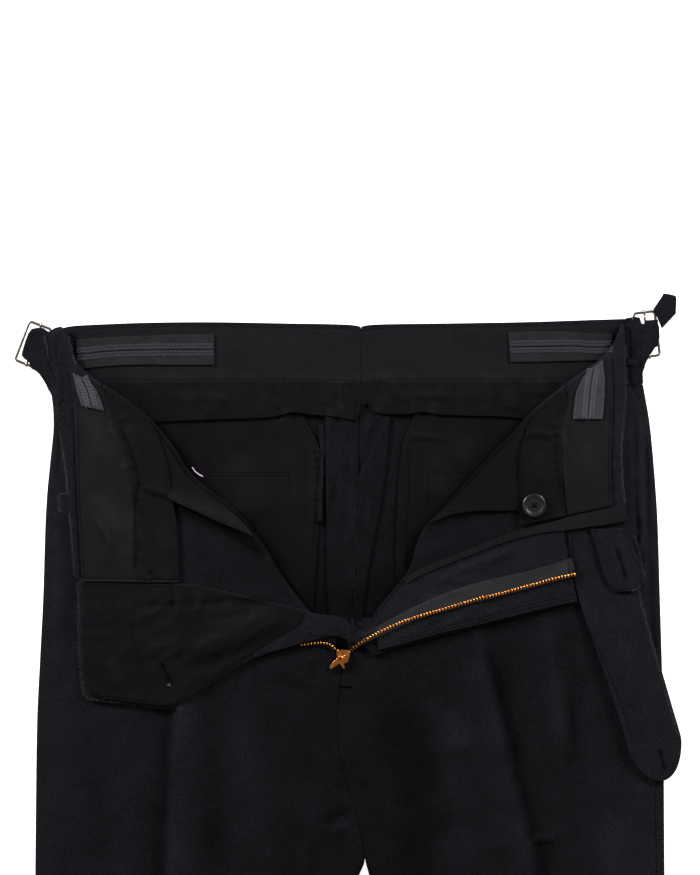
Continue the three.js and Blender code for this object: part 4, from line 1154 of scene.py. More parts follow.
# tacks: a line, and the pitch and length of the stitches across it
BAR_TACK = ((158.8, -175.5), (160.2, -186)), 0.62, 2.4
FLY_TACK = ((-14.5, -268.6), (-10, -269.6), (-5, -269.4)), 0.6, 1.6
PALE_STITCHES = (((-97.7, -258.5), (-78, -247.4), (-57.7, -241.6), (-42, -238.6)),)

GRIPS = {
    "grip_tape_back_right": ((-207.6, -24), (-200, -23.4), (-181, -21.6), (-154, -20.8),
                             (-130, -20.6), (-106.9, -20.6)),
    "grip_tape_back_left": ((112.4, -18.7), (135.5, -18.3), (160.5, -18), (167.5, -18.6),
                            (178.5, -18.8), (187.4, -18.2)),
    "grip_tape_front_right": ((-203.6, -41.6), (-199.5, -50), (-195.6, -63.2)),
    "grip_tape_front_left": ((173.2, -35), (171.2, -47.5), (169.9, -60.5), (169, -71.3)),
}
# the ribs' chains: how far each is from the grip's middle, and how its ribs lean
RIB = {"pitch": 1.15, "length": 2.5, "thick": 0.66, "sink": 0.16,
       "chains": ((1.5, 0.5), (3.7, -0.5))}
GRIP_SEAM = {"pitch": 1.9, "length": 1.5, "thick": 0.4, "sink": 0.05}


def make_grips(top):
    for place, material in (("back", GRIP_RIB), ("front", GRIP_RIB_LIT)):
        lines = [line for node, line in GRIPS.items() if place in node]
        ribs = grip_ribs(top, lines)
        joined_copies("grip_ribs_" + place, STITCH, ribs, material, "grip_tape")
    seams = stitch_places(top, GRIPS.values(), **GRIP_SEAM)
    joined_copies("grip_seams", STITCH, seams, DARK_THREAD_AND_SLIT_SHADE, "lining")


def grip_ribs(top, lines):
    """Rubber knit: beside the middle seam, two chains on each side that lean towards it."""
    places = []
    for line in lines:
        for sign in (-1, 1):
            for offset, lean in RIB["chains"]:
                for here, way in along(beside(line, sign * offset), RIB["pitch"]):
                    angle = math.pi / 2 + sign * lean
                    turned = (way[0] * math.cos(angle) - way[1] * math.sin(angle),
                              way[0] * math.sin(angle) + way[1] * math.cos(angle))
                    places.append(lying(top, here[0], here[1], turned, RIB["length"], RIB["thick"],
                                        RIB["thick"], RIB["sink"]))
    return places


TEETH_LEFT = ((160.5, -185.4), (150, -187.6), (140, -190), (130, -193), (120, -195.5),
              (110, -198.5), (100, -201), (90, -203.2), (80, -206), (70, -209), (60, -212),
              (50, -214.8), (40, -218), (30, -221.6), (20, -226), (10, -231), (1, -236.8),
              (-5, -241.4), (-7.6, -244))
TEETH_RIGHT = ((-43, -237.8), (-34, -236.8), (-26, -236.4), (-20, -237.8), (-16, -241),
               (-14, -243.2))
TOOTH = {"pitch": 2.4, "long": 2.7, "bead": 1.9, "wide": 1.4, "high": 1.9, "sink": 0.1}
TEETH_OUT = 0.8
# a tooth lies on the highest cloth at these distances along it
TOOTH_SEATS = (-1.2, 0, 1)
# a tooth's sections: how far along it, and its share of the full width and height there
NOSE = 0.62
TOOTH_SECTIONS = ((-0.5, 0.8, 0.8), (-0.42, 1, 1), (0.2, 1, 1), (0.42, NOSE, 0.8),
                  (0.5, NOSE * 0.7, 0.6))


def block():
    """A closed tooth along y, one long, wide and high, narrower at its nose."""
    points = [(sx * w / 2, y, sz * h / 2) for y, w, h in TOOTH_SECTIONS
              for sx, sz in ((-1, -1), (1, -1), (1, 1), (-1, 1))]
    faces = [(k * 4 + i, k * 4 + (i + 1) % 4, k * 4 + 4 + (i + 1) % 4, k * 4 + 4 + i)
             for k in range(4) for i in range(4)]
    return points, faces + [(0, 1, 2, 3), (16, 17, 18, 19)]


def make_teeth(top):
    places = []
    for line, length in ((TEETH_LEFT, TOOTH["long"]), (TEETH_RIGHT, TOOTH["bead"])):
        size = (TOOTH["wide"], length, TOOTH["high"])
        for here, way in along(line, TOOTH["pitch"]):
            out = -leftward(way) * (1 if way[0] > 0 else -1)
            here = here + out * TEETH_OUT
            z = max(top(*(here + out * step)) for step in TOOTH_SEATS)
            y_axis = Vector((*out, 0))
            x_axis = y_axis.cross(Z_UP)
            columns = [axis * s * MM for axis, s in zip((x_axis, y_axis, Z_UP), size)]
            matrix = Matrix([(*column, 0) for column in columns]
                            + [(*at(*here, z - TOOTH["sink"]), 1)])
            places.append(matrix.transposed())
    joined_copies("zip_teeth", template(*block()), places, BRASS, "zip_metal")


# ---- shapes in metal
PLATE_WELD = 1e-6
# where a tube runs nearer to upright than this, its side is along x
UPRIGHT = 0.05


def flat_plate(name, outlines, thick, round_off):
    """A brass plate cut to outlines in millimetres, the first outside and the rest holes."""
    curve = bpy.data.curves.new(name, "CURVE")
    curve.dimensions = "2D"
    curve.fill_mode = "BOTH"
    curve.extrude = (thick / 2 - round_off) * MM
    curve.bevel_depth = round_off * MM
    curve.bevel_resolution = 2
    curve.offset = -round_off * MM
    for outline in outlines:
        spline = curve.splines.new("POLY")
        spline.points.add(len(outline) - 1)
        for point, (x, y) in zip(spline.points, outline):
            point.co = (x * MM, y * MM, 0, 1)
        spline.use_cyclic_u = True
    source = bpy.data.objects.new(name, curve)
    bpy.context.scene.collection.objects.link(source)
    bpy.context.view_layer.update()
    graph = bpy.context.evaluated_depsgraph_get()
    mesh = bpy.data.meshes.new_from_object(source.evaluated_get(graph))
    bpy.data.objects.remove(source)
    bpy.data.curves.remove(curve)
    bm = bmesh.new()
    bm.from_mesh(mesh)
    bpy.data.meshes.remove(mesh)
    bmesh.ops.remove_doubles(bm, verts=bm.verts, dist=PLATE_WELD)
    return closed_mesh(name, bm, BRASS)


def bridge(bm, rings, closed=False):
    """Joins rings of points with faces, each to the next."""
    for one, two in zip(rings, rings[1:] + (rings[:1] if closed else [])):
        count = len(one)
        for k in range(count):
            bm.faces.new((one[k], one[(k + 1) % count], two[(k + 1) % count], two[k]))


def tube(bm, line, radius, sides=12, closed=False, flat=1.0):
    """Adds a tube round a line of points in metres; flat squeezes it along z."""
    count = len(line)
    rings = []
    for i, point in enumerate(line):
        before = line[(i - 1) % count] if closed or i else line[0]
        after = line[(i + 1) % count] if closed or i < count - 1 else line[-1]
        way = (after - before).normalized()
        side = way.cross(Z_UP)
        side = side.normalized() if side.length > UPRIGHT else Vector((1, 0, 0))
        up = side.cross(way).normalized()
        rings.append([bm.verts.new(
            point + radius * (math.cos(a) * side + flat * math.sin(a) * up))
            for a in (2 * math.pi * k / sides for k in range(sides))])
    bridge(bm, rings, closed)
    if not closed:
        bm.faces.new(rings[0][::-1])
        bm.faces.new(rings[-1])


def round_box(width, height, corner, steps=5):
    """Points round a rectangle with round corners, in millimetres."""
    points = []
    for quarter, (sx, sy) in enumerate(QUARTERS):
        for step in range(steps + 1):
            angle = (quarter + step / steps) * math.pi / 2
            points.append((sx * (width / 2 - corner) + corner * math.cos(angle),
                           sy * (height / 2 - corner) + corner * math.sin(angle)))
    return points


# ---- hardware
BUTTON_PROFILE = ((0, 0), (5.4, 0), (7.6, 0.5), (8.6, 1.3), (8.75, 1.9), (8.5, 2.6), (7.9, 3.0),
                  (7.0, 2.95), (6.1, 2.5), (5.3, 2.1), (4.2, 1.95), (3.4, 2.15), (2.6, 2.1), (0, 2.0))
BUTTON_TURNS = 56
BUTTON_FOOT = 0.35
# the cloth's height under the button is read off this far beside its middle
BUTTON_BESIDE = 6
HOLE = {"offset": 1.35, "radius": 0.72, "middle": 1.2, "depth": 4, "sides": 14}
# the cross of thread: two strands each way, which rise over the button and end in the holes
STRAND = {"apart": 0.22, "radius": 0.22, "level": 2.0, "rise": 0.42, "dive": 0.9, "steps": 8}
QUARTERS = (1, 1), (-1, 1), (-1, -1), (1, -1)


def make_button(top):
    low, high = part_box("button_inner")
    centre = Vector(((low.x + high.x) / 2, (low.y + high.y) / 2, low.z))
    x, y = in_garment(centre.x, centre.y)
    centre.z = (top(x + BUTTON_BESIDE, y) + BUTTON_FOOT) * MM
    bm = bmesh.new()
    angles = [2 * math.pi * i / BUTTON_TURNS for i in range(BUTTON_TURNS)]
    rings = [[bm.verts.new(centre + Vector((r * math.cos(a), r * math.sin(a), z)) * MM)
              for a in angles] for r, z in BUTTON_PROFILE[1:-1]]
    bottom = bm.verts.new(centre)
    crown = bm.verts.new(centre + Z_UP * BUTTON_PROFILE[-1][1] * MM)
    bridge(bm, rings)
    for i in range(BUTTON_TURNS):
        bm.faces.new((bottom, rings[0][(i + 1) % BUTTON_TURNS], rings[0][i]))
        bm.faces.new((crown, rings[-1][i], rings[-1][(i + 1) % BUTTON_TURNS]))
    button = finish_mesh("button", bm, HORN)
    cutter_mesh = bmesh.new()
    for sx, sy in QUARTERS:
        place = centre + Vector((sx * HOLE["offset"], sy * HOLE["offset"], HOLE["middle"])) * MM
        bmesh.ops.create_cone(cutter_mesh, cap_ends=True, segments=HOLE["sides"],
                              radius1=HOLE["radius"] * MM, radius2=HOLE["radius"] * MM,
                              depth=HOLE["depth"] * MM, matrix=Matrix.Translation(place))
    cutter = finish_mesh("holes", cutter_mesh, HORN)
    cut = button.modifiers.new("holes", "BOOLEAN")
    cut.object = cutter
    cut.operation = "DIFFERENCE"
    apply_modifiers(button)
    bpy.data.objects.remove(cutter)
    smooth_by_angle(button)
    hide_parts("button_inner")
    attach(button, "garment")
    make_cross(centre)


def make_cross(centre):
    """The crossed thread in the button's holes."""
    bm = bmesh.new()
    steps = STRAND["steps"]
    for sy in (-1, 1):
        for lane in (-STRAND["apart"], STRAND["apart"]):
            shift = lane / math.sqrt(2)
            line = []
            for step in range(steps + 1):
                share = step / steps
                x = (2 * share - 1) * HOLE["offset"]
                y = sy * (2 * share - 1) * HOLE["offset"]
                z = (STRAND["level"] + STRAND["rise"] * math.sin(math.pi * share)
                     - (STRAND["dive"] if step in (0, steps) else 0))
                line.append(centre + Vector((x - sy * shift, y + shift, z)) * MM)
            tube(bm, line, STRAND["radius"] * MM, 6)
    cross = closed_mesh("button_thread", bm, THREAD)
    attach(cross, "garment")


def smooth_by_angle(piece, degrees=35):
    """Keeps the hard edges of a piece sharp and shades the rest smooth."""
    bm = bmesh.new()
    bm.from_mesh(piece.data)
    for edge in bm.edges:
        edge.smooth = len(edge.link_faces) == 2 and edge.calc_face_angle(0) < math.radians(degrees)
    bm.to_mesh(piece.data)
    bm.free()
    piece.data.polygons.foreach_set("use_smooth", [True] * len(piece.data.polygons))


# a row for each buckle: its node, turn, width and height; then the frame's wire, how round its
# corners are, the bar, and the curls in which the bar's ends go round the frame
BUCKLES = (("adjuster_buckle_right", -0.36, 20, 33), ("adjuster_buckle_left", 0.12, 18, 35))
WIRE = 2.2
WIRE_FLAT = 0.96
CORNER = 2.4
BAR = {"x": 0.2, "radius": 0.85, "short": 1.6, "points": 9}
CURL = {"along": 1.5, "high": 1.15, "radius": 0.55, "wide": 1.6, "points": 14, "sides": 8}


def make_buckle(node, turn, width, height):
    """A slide buckle of bent wire: a frame, and a bar whose ends curl round it."""
    low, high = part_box(node)
    spin = Matrix.Translation((low + high) / 2) @ Matrix.Rotation(turn, 4, "Z")
    bm = bmesh.new()
    frame_line = [spin @ Vector((x * MM, y * MM, 0))
                  for x, y in round_box(width - WIRE, height - WIRE, CORNER)]
    tube(bm, frame_line, WIRE / 2 * MM, closed=True, flat=WIRE_FLAT)
    bar = [spin @ Vector((BAR["x"] * MM, y * MM, 0))
           for y in np.linspace(-1, 1, BAR["points"]) * (height / 2 - BAR["short"])]
    tube(bm, bar, BAR["radius"] * MM, 10)
    for sy in (-1, 1):
        ring = []
        for step in range(CURL["points"]):
            angle = 2 * math.pi * step / CURL["points"]
            ring.append(spin @ (Vector((
                BAR["x"], sy * (height / 2 - WIRE / 2) + CURL["along"] * math.cos(angle),
                CURL["high"] * math.sin(angle))) * MM))
        ring_tube(bm, ring, spin)
    buckle = closed_mesh(node.replace("adjuster_", "") + "_wire", bm, STEEL)
    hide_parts(node)
    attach(buckle, "garment")
    cloths.append(buckle)


def ring_tube(bm, ring, spin):
    """A closed thin ring that stands across the buckle's frame."""
    across = (spin.to_3x3() @ Vector((1, 0, 0))).normalized()
    centre = sum(ring, Vector()) / len(ring)
    radius = CURL["radius"] * MM
    loops = []
    for point in ring:
        out = (point - centre).normalized()
        loops.append([bm.verts.new(
            point + radius * (math.cos(a) * out + CURL["wide"] * math.sin(a) * across))
            for a in (2 * math.pi * k / CURL["sides"] for k in range(CURL["sides"]))])
    bridge(bm, loops, closed=True)


def placed(piece, x, y, z, turn=0.0, tilt=0.0):
    """Moves a piece's points to a place in the garment's millimetres."""
    move = (Matrix.Translation(at(x, y, z)) @ Matrix.Rotation(turn, 4, "Z")
            @ Matrix.Rotation(tilt, 4, "Y"))
    piece.data.transform(move)
    return piece


SLIDER_Z = 5.65
SLIDER_THICK = 2.6
SLIDER_BODY = ((-4.5, 4.1), (-4.8, 1), (-2.8, -4.5), (2.8, -4.5), (4.8, 1), (4.5, 4.1), (1.5, 4.9),
               (-1.5, 4.9))
WEDGE = ((-1.1, 3.6), (-0.7, -0.6), (0.7, -0.6), (1.1, 3.6))
RAIL = ((3.9, 1.2), (4.6, 1.0), (2.75, -4.2), (2.1, -4.0))
# the crown: an arch of wire over the slider, which goes on past a half turn at its feet
CROWN = {"half": 2.5, "foot": 0.3, "rise": 2.7, "past": 0.25, "radius": 0.62, "points": 15}
PULL_HEADING = math.atan2(-0.57, -0.82)
PULL_DROOP = 0.11
EYE_RISE = 1.6
PULL_THICK, PULL_ROUND = 1.05, 0.24
PULL_SMOOTH = 50
LEAF_STEP = 0.4
# the pull's leaf with the short spur beside it, and the window at its eye
LEAF = ((-0.55, -1.3), (0.2, -1.9), (4.4, -1.5), (9, -0.9), (12.3, 0.4), (13.0, 1.7),
        (12.2, 2.5), (8.4, 2.6), (5.4, 2.7), (4.9, 4.2), (5.1, 6.6), (4.6, 7.7), (3.7, 7.5),
        (2.7, 5.2), (1.6, 3.0), (0.1, 2.1), (-0.55, 1.4))
WINDOW = ((0.7, -0.85), (0.7, 0.95), (3.3, 1.3), (3.9, 0.3), (3.4, -0.8))


def outline(points, step=0.6):
    """A smooth closed outline through the points."""
    return [tuple(p) for p in smooth_line(tuple(points) + (points[0],), step)[:-1]]


def join_pieces(name, pieces):
    bm = bmesh.new()
    for piece in pieces:
        bm.from_mesh(piece.data)
        bpy.data.objects.remove(piece)
    return finish_mesh(name, bm, BRASS)


def make_slider():
    x, y = SLIDER_AT
    plates = [
        # a name, an outline, how thick and how rounded it is, and its middle's height
        ("upper", outline(SLIDER_BODY), 0.95, 0.3, 2.12),
        ("lower", outline(SLIDER_BODY), 0.85, 0.25, 0.43),
        ("wedge", WEDGE, 1.2, 0.1, 1.28)]
    plates += [("rail", [(sign * px, py) for px, py in RAIL], 1.2, 0.1, 1.28) for sign in (-1, 1)]
    parts = [placed(flat_plate(name, [line], thick, rounding), x, y, SLIDER_Z + z)
             for name, line, thick, rounding, z in plates]
    bm = bmesh.new()
    heading = Matrix.Rotation(PULL_HEADING, 3, "Z")
    arch = [at(x, y, SLIDER_Z + SLIDER_THICK) + heading @ (Vector((
        CROWN["half"] * math.cos(a), 0, CROWN["foot"] + CROWN["rise"] * math.sin(a))) * MM)
        for a in np.linspace(-CROWN["past"], math.pi + CROWN["past"], CROWN["points"])]
    tube(bm, arch, CROWN["radius"] * MM, 10)
    parts.append(closed_mesh("crown", bm, BRASS))
    slider = join_pieces("slider_body", parts)
    smooth_by_angle(slider)
    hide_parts("zip_slider")
    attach(slider, "garment")
    tab = flat_plate("pull_tab", [outline(LEAF, LEAF_STEP), WINDOW], PULL_THICK, PULL_ROUND)
    placed(tab, x, y, SLIDER_Z + SLIDER_THICK + EYE_RISE, PULL_HEADING, PULL_DROOP)
    smooth_by_angle(tab, PULL_SMOOTH)
    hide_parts("zip_pull")
    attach(tab, "pull")


# Where two pieces are sewn edge to edge their turned-in cloth fills the seam: rows of a
# radius and a line of x, y, z.
SEAMS = (
    (0.9, ((2.3, -4.8, 1.0), (2.3, -46, 1.0))),
    (0.8, ((1.4, -45, 0.9), (0.5, -80, 0.9), (-1, -130, 0.9), (-4.4, -197, 0.9))),
    (1.3, ((-4.4, -194, 1.4), (-4.3, -225, 1.4), (-4, -262, 1.4))),
    (0.7, ((-4, -258, 0.8), (0.5, -330, 0.8), (5.5, -397, 0.8))),
    (0.6, ((2.3, -7, 2.85), (2.3, -44, 2.85))),
    (0.7, ((-226.2, -46, 1.1), (-120, -46, 0.9), (1.6, -46, 0.9))),
    (0.7, ((1.6, -46, 0.9), (110, -46, 0.9), (209.2, -46, 1.1))),
    (0.6, ((-225.9, -46, 2.9), (-224.6, -46.2, 4.3), (-220, -46.2, 5.4), (-214, -46, 5.8),
           (-192, -46, 5.8))),
    (0.6, ((208.8, -46, 2.9), (207.6, -46.2, 4.3), (203, -46.2, 5.4), (197, -46, 5.8),
           (156, -46, 5.8))),
    (0.5, ((-12.6, -262, 4.4), (-13.4, -272, 4.4), (-15.4, -285, 4.4), (-16, -300, 4.4),
           (-14, -318, 4.4), (-10, -335, 4.4), (-4.3, -352, 4.4), (2, -375, 4.4),
           (5.4, -397, 3.6))),
)


SEAM_STEP = 4
CORD_SIDES = 8


def make_seams():
    bm = bmesh.new()
    for radius, line in SEAMS:
        tube(bm, [at(*point) for point in smooth_line(line, SEAM_STEP)], radius * MM, CORD_SIDES)
    seams = closed_mesh("seam_allowances", bm, FLANNEL)
    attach(seams, "garment")


# Cloth that runs on over the joins of the frame's pieces: its name, cloth and outline, the
# line along which it is sunk into the cloth below, and its ridges.
PATCHES = (
    ("strap_root_right", "flannel",
     ((-241.2, -5.4), (-236.8, -4.3), (-232.4, -4.6), (-230, -6.7), (-228, -7.2), (-226.4, -5.8),
      (-223.5, -4.1), (-219, -3.2), (-215.5, -16), (-213.5, -30), (-214.5, -45), (-217, -58),
      (-221, -70), (-225.3, -64), (-226.3, -54.6), (-229.4, -48.6), (-230.9, -42.4),
      (-236.8, -37.2), (-241.6, -34.2), (-243.2, -29.6), (-246.4, -27.4), (-248.6, -24.8),
      (-247.4, -19.8), (-245.6, -14), (-243.6, -8.6)),
     ((-223.5, -4.1), (-219, -3.2), (-215.5, -16), (-213.5, -30), (-214.5, -45), (-217, -58),
      (-221, -70), (-225.3, -64)),
     ((1.5, 1.2, ((-233, -16), (-229.5, -30), (-224.5, -44), (-221.5, -60))),
      (1.4, 1.0, ((-238, -24), (-232.5, -34), (-227, -46), (-223.5, -60))),
      (1.5, 0.9, ((-226, -12), (-223.5, -28), (-219.5, -44), (-218.5, -58))),
      (1.6, -1.0, ((-230.5, -8), (-229, -22), (-225, -36))))),
    ("strap_root_left", "flannel",
     ((198, 2.8), (203.5, 3.6), (207.8, 2.9), (208.8, -1.5), (209.4, -5.5), (210.5, -2.2),
      (211.9, 0.9), (219.8, 1.4), (221.8, -4.2), (222.2, -11.6), (220.5, -18.6), (215.4, -20.3),
      (213.5, -24.3), (211.6, -27.4), (211.2, -34.4), (209.1, -38.1), (209.6, -44),
      (210.3, -50), (211, -60), (206, -64), (201.5, -52), (199, -38), (198.4, -20), (197.5, -8)),
     ((211, -60), (206, -64), (201.5, -52), (199, -38), (198.4, -20), (197.5, -8), (198, 2.8)),
     ((1.4, 1.0, ((207, -12), (206, -28), (205.5, -48))),
      (1.3, -0.9, ((210, -8), (209, -20), (207.6, -34))),
      (1.3, 0.8, ((202.8, -8), (202.4, -26), (203, -46))))),
    ("fly_foot", "flannel",
     ((-27, -231.5), (-14, -229), (-4, -230), (1, -233), (2.5, -239.5), (-2, -242.4), (-7, -242.6),
      (-12.5, -240.6), (-18, -236.2), (-27, -235)), (),
     ((5, 1.5, ((-17, -236), (-11, -237.5), (-4, -237))),)),
    ("seat_foot", "flannel",
     ((-5, -219), (9, -219), (17, -216), (14, -226), (7, -234), (0, -238), (-4, -230)),
     ((-5, -219), (9, -219), (17, -216)), ()),
    ("strap_tip", "flannel",
     ((225.2, 20.6), (234.5, 18.9), (234.5, 5.9), (223.8, -5.4), (219.8, 4.0), (217.3, 8.7)),
     (), ()),
    ("curtain_middle", "pocketing",
     ((-0.7, -45.2), (14, -45.2), (14, -69.2), (10, -65.2), (6.6, -59.6), (3.2, -66.2),
      (-1.3, -71.9), (-1.6, -60)),
     ((14, -69.2), (14, -45.2)), ()),
)
PATCH_STEP = 0.8
PATCH_WALL = 1.3
PATCH_MARGIN = 2
# its height: gaps this many steps wide are bridged, what no cloth holds is evened in so many
# rounds, and then all of it in so many, but lowered by no more than this
BRIDGED, FILL_ROUNDS, EVEN_ROUNDS, MOST_LOWERED = 4, 80, 5, 0.2
# a place lower than this has no cloth
BARE = 0.1
PATCH_OVER = 0.35
SINK_DEPTH, SINK_WIDTH = 0.5, 7


def inside(x, y, outline):
    """Which points are inside a closed outline."""
    within = np.zeros(x.shape, dtype=bool)
    for (x1, y1), (x2, y2) in zip(outline, outline[1:] + outline[:1]):
        if y1 != y2:
            crosses = (y1 > y) != (y2 > y)
            within ^= crosses & (x < x1 + (y - y1) * (x2 - x1) / (y2 - y1))
    return within


def evened(grid, known, rounds, held):
    """A grid of heights smoothed in rounds; where held, what is known stays."""
    level = np.where(known, grid, grid[known].mean())
    for _ in range(rounds):
        wide = np.pad(level, 1, mode="edge")
        mean = (wide[:-2, 1:-1] + wide[2:, 1:-1] + wide[1:-1, :-2] + wide[1:-1, 2:]) / 4
        level = np.where(known, grid, mean) if held else mean
    return level


def spread(grid, reach, pick):
    """Each place of a grid takes the highest, or lowest, height within its reach."""
    wide = np.pad(grid, reach, mode="edge")
    rows, columns = grid.shape
    best = grid
    for down in range(2 * reach + 1):
        for across in range(2 * reach + 1):
            best = pick(best, wide[down:down + rows, across:across + columns])
    return best


def make_patch(top, name, cloth, line, sunk, ridges):
    corners = np.array(line)
    low, high = corners.min(axis=0) - PATCH_MARGIN, corners.max(axis=0) + PATCH_MARGIN
    xs = np.arange(low[0], high[0], PATCH_STEP)
    ys = np.arange(low[1], high[1], PATCH_STEP)
    grid = np.array([[top(x, y) for x in xs] for y in ys])
    grid = spread(spread(grid, BRIDGED, np.maximum), BRIDGED, np.minimum)
    level = evened(grid, grid > BARE, FILL_ROUNDS, True)
    everywhere = np.ones_like(grid, dtype=bool)
    level = np.maximum(evened(level, everywhere, EVEN_ROUNDS, False), level - MOST_LOWERED)
    x, y = np.meshgrid(xs, ys)
    middle = inside(x[:-1, :-1] + PATCH_STEP / 2, y[:-1, :-1] + PATCH_STEP / 2, line)
    used = np.zeros(x.shape, dtype=int)
    for rows, columns in ((0, 0), (0, 1), (1, 0), (1, 1)):
        used[rows:rows + middle.shape[0], columns:columns + middle.shape[1]] += middle
    points = np.stack([x.ravel(), y.ravel()], axis=1)
    rim = (used.ravel() > 0) & (used.ravel() < 4)
    points[rim] = nearest_on(points[rim], line + line[:1])[0]
    height = level.ravel() + PATCH_OVER
    if sunk:
        away = nearest_on(points, sunk)[1]
        height -= SINK_DEPTH * (1 - smooth_step(away / SINK_WIDTH))
    for half, lift, ridge in ridges:
        away = nearest_on(points, [tuple(p) for p in smooth_line(ridge, 3)])[1]
        height += lift * hump(away, half)
    bm = bmesh.new()
    made = {}
    for row, column in zip(*np.nonzero(middle)):
        face = []
        for r, c in ((row, column), (row, column + 1), (row + 1, column + 1), (row + 1, column)):
            number = r * len(xs) + c
            if number not in made:
                made[number] = bm.verts.new(at(*points[number], height[number]))
            face.append(made[number])
        bm.faces.new(face)
    piece = finish_mesh(name, bm, {"flannel": FLANNEL, "pocketing": POCKETING}[cloth])
    shell = piece.modifiers.new("wall", "SOLIDIFY")
    shell.thickness = PATCH_WALL * MM
    shell.offset = -1
    round_edges(piece)
    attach(piece, "garment")


BUTTONHOLES = (
    # from, to, half width of the stitched edge
    ((-146, -249), (-137, -267), 1.9),
    ((190.5, -166), (197.5, -190), 1.9),
    ((222, -314.5), (226.5, -330), 1.9),
)
EDGE_STITCH = {"pitch": 0.85, "length": 1.7, "width": 0.5, "height": 0.55, "sink": 0.1}
# the stitches' middles run inside the edge by these, with blunt ends, and they fan out there
EDGE_END, EDGE_SIDE, BLUNT = 0.5, 0.75, 0.6
FAN_ALONG, LEAST_ACROSS = 0.35, 0.2
SLIT_SHORT = 2.4
SLIT_SIZE = {"width": 0.75, "height": 0.34, "sink": 0.02}
# the knot at the first buttonhole's foot: its place, its way, and where its strands lie
KNOT_AT = (-139.1, -268.0)
KNOT_WAY = (0.5, -0.86)
KNOT_STRANDS = ((-0.9, 0.1), (0, 0), (0.9, -0.2), (0.3, 0.8))
KNOT_SIZE = {"length": 1.8, "width": 0.6, "height": 0.6}


def make_buttonholes(top):
    """Close stitches round a slit, and in the slit a dark capsule: painted shade."""
    rings = []
    slits = []
    size = {key: EDGE_STITCH[key] for key in ("length", "width", "height", "sink")}
    for start, end, half in BUTTONHOLES:
        start, end = np.array(start), np.array(end)
        centre = (start + end) / 2
        way = (end - start) / np.linalg.norm(end - start)
        side = leftward(way)
        reach = np.linalg.norm(end - start) / 2
        count = int(4 * reach / EDGE_STITCH["pitch"])
        for i in range(count):
            angle = 2 * math.pi * (i + 0.5) / count
            ca, sa = math.cos(angle), math.sin(angle)
            blunt = abs(ca) ** BLUNT * math.copysign(1, ca)
            spot = centre + way * (reach - EDGE_END) * blunt + side * (half - EDGE_SIDE) * sa
            across = sa if abs(sa) > LEAST_ACROSS else math.copysign(LEAST_ACROSS, sa)
            outward = way * FAN_ALONG * ca + side * across
            outward /= np.linalg.norm(outward)
            rings.append(lying(top, *spot, outward, **size))
        # the slit: a dark capsule of painted shade
        slits.append(lying(top, *centre, way, 2 * reach - SLIT_SHORT, **SLIT_SIZE))
    joined_copies("buttonhole_edges", STITCH, rings, PALE_THREAD, "lining")
    joined_copies("buttonhole_slits", STITCH, slits, DARK_THREAD_AND_SLIT_SHADE, "lining")
    knot = [lying(top, KNOT_AT[0] + dx, KNOT_AT[1] + dy, KNOT_WAY, **KNOT_SIZE)
            for dx, dy in KNOT_STRANDS]
    joined_copies("buttonhole_knot", STITCH, knot, GREY_THREAD, "lining")


LILAC_TACK = ((-122.6, -107.6), (-120.6, -110.4), (-117.6, -112.8), (-114.6, -114.4))
LILAC_RADIUS, LILAC_OVER = 0.55, 0.3


def make_lilac_tack(top):
    bm = bmesh.new()
    line = [at(x, y, top(x, y) + LILAC_OVER) for x, y in smooth_line(LILAC_TACK, 1)]
    tube(bm, line, LILAC_RADIUS * MM, CORD_SIDES)
    lilac = closed_mesh("lilac_tack", bm, LILAC_THREAD)
    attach(lilac, "garment")


# seams between pieces, filled in: a cloth, a radius, how far its crown stands over the cloth
# beside it, the higher or the lower side, and the seam's line
JOINS = (
    ("lining", 1.3, 0.0, max, ((-205, -191), (-190, -191), (-164, -191.3), (-132, -191.6))),
    ("flannel", 1.1, -0.1, max, ((-0.8, -72), (-1, -104), (-2.6, -157), (-3.9, -219), (-4, -232))),
    ("flannel", 2.3, 1.4, min, ((-26.9, -76), (-26, -90), (-26.2, -108), (-27.4, -126),
                                (-28.4, -148))),
)


JOIN_STEP = 3
# the cloth's height is read off this far to each side of a join
JOIN_BESIDE = 2.2


def make_joins(top):
    for number, (cloth, radius, crown, pick, line) in enumerate(JOINS):
        bm = bmesh.new()
        points = np.array(smooth_line(line, JOIN_STEP))
        way = np.gradient(points, axis=0)
        side = JOIN_BESIDE * np.stack([-way[:, 1], way[:, 0]], axis=1)
        side /= np.linalg.norm(way, axis=1)[:, None]
        heights = [pick(top(*(here + step)), top(*(here - step)))
                   for here, step in zip(points, side)]
        # the cord's foot stays on the floor or above it
        tube(bm, [at(x, y, max(z + crown, 2 * radius) - radius)
                  for (x, y), z in zip(points, heights)], radius * MM, CORD_SIDES)
        join = closed_mesh(f"join_{number}", bm, {"lining": LINING, "flannel": FLANNEL}[cloth])
        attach(join, "garment")


NAP_EDGES = (
    # the right front's turns at the waist, its flap's outer edge, and the hanger loop
    ((-213, -10.4), (-210.4, -22), (-207.9, -32.6)),
    ((-231.6, -10.4), (-229, -25), (-226.3, -40), (-223, -52.8), (-219.3, -86), (-215.6, -108),
     (-214.4, -122), (-214.2, -126)),
    ((-213, -126.8), (-220.4, -127.6), (-220.8, -133), (-219.8, -139.6), (-213, -140.4)),
    ((-213, -141), (-211, -160), (-208.4, -190)),
    # the fly shield's edges
    ((-206.8, -192), (-205.4, -240), (-203.6, -268), (-201.6, -276)),
    ((-201.6, -276), (-196, -279.6), (-180, -281.2), (-160, -283.8), (-142, -285.4), (-131, -285)),
    # the left flap's outer edge, and its tabs
    ((198, -17), (196.9, -61.4), (194.2, -94.7), (195.8, -126), (197, -134)),
    ((206.6, -198), (213.5, -226), (221.6, -254), (229.8, -283), (236.2, -306)),
    ((203.4, -158), (207.6, -171), (210.6, -184), (208.4, -195), (200, -199.6)),
)
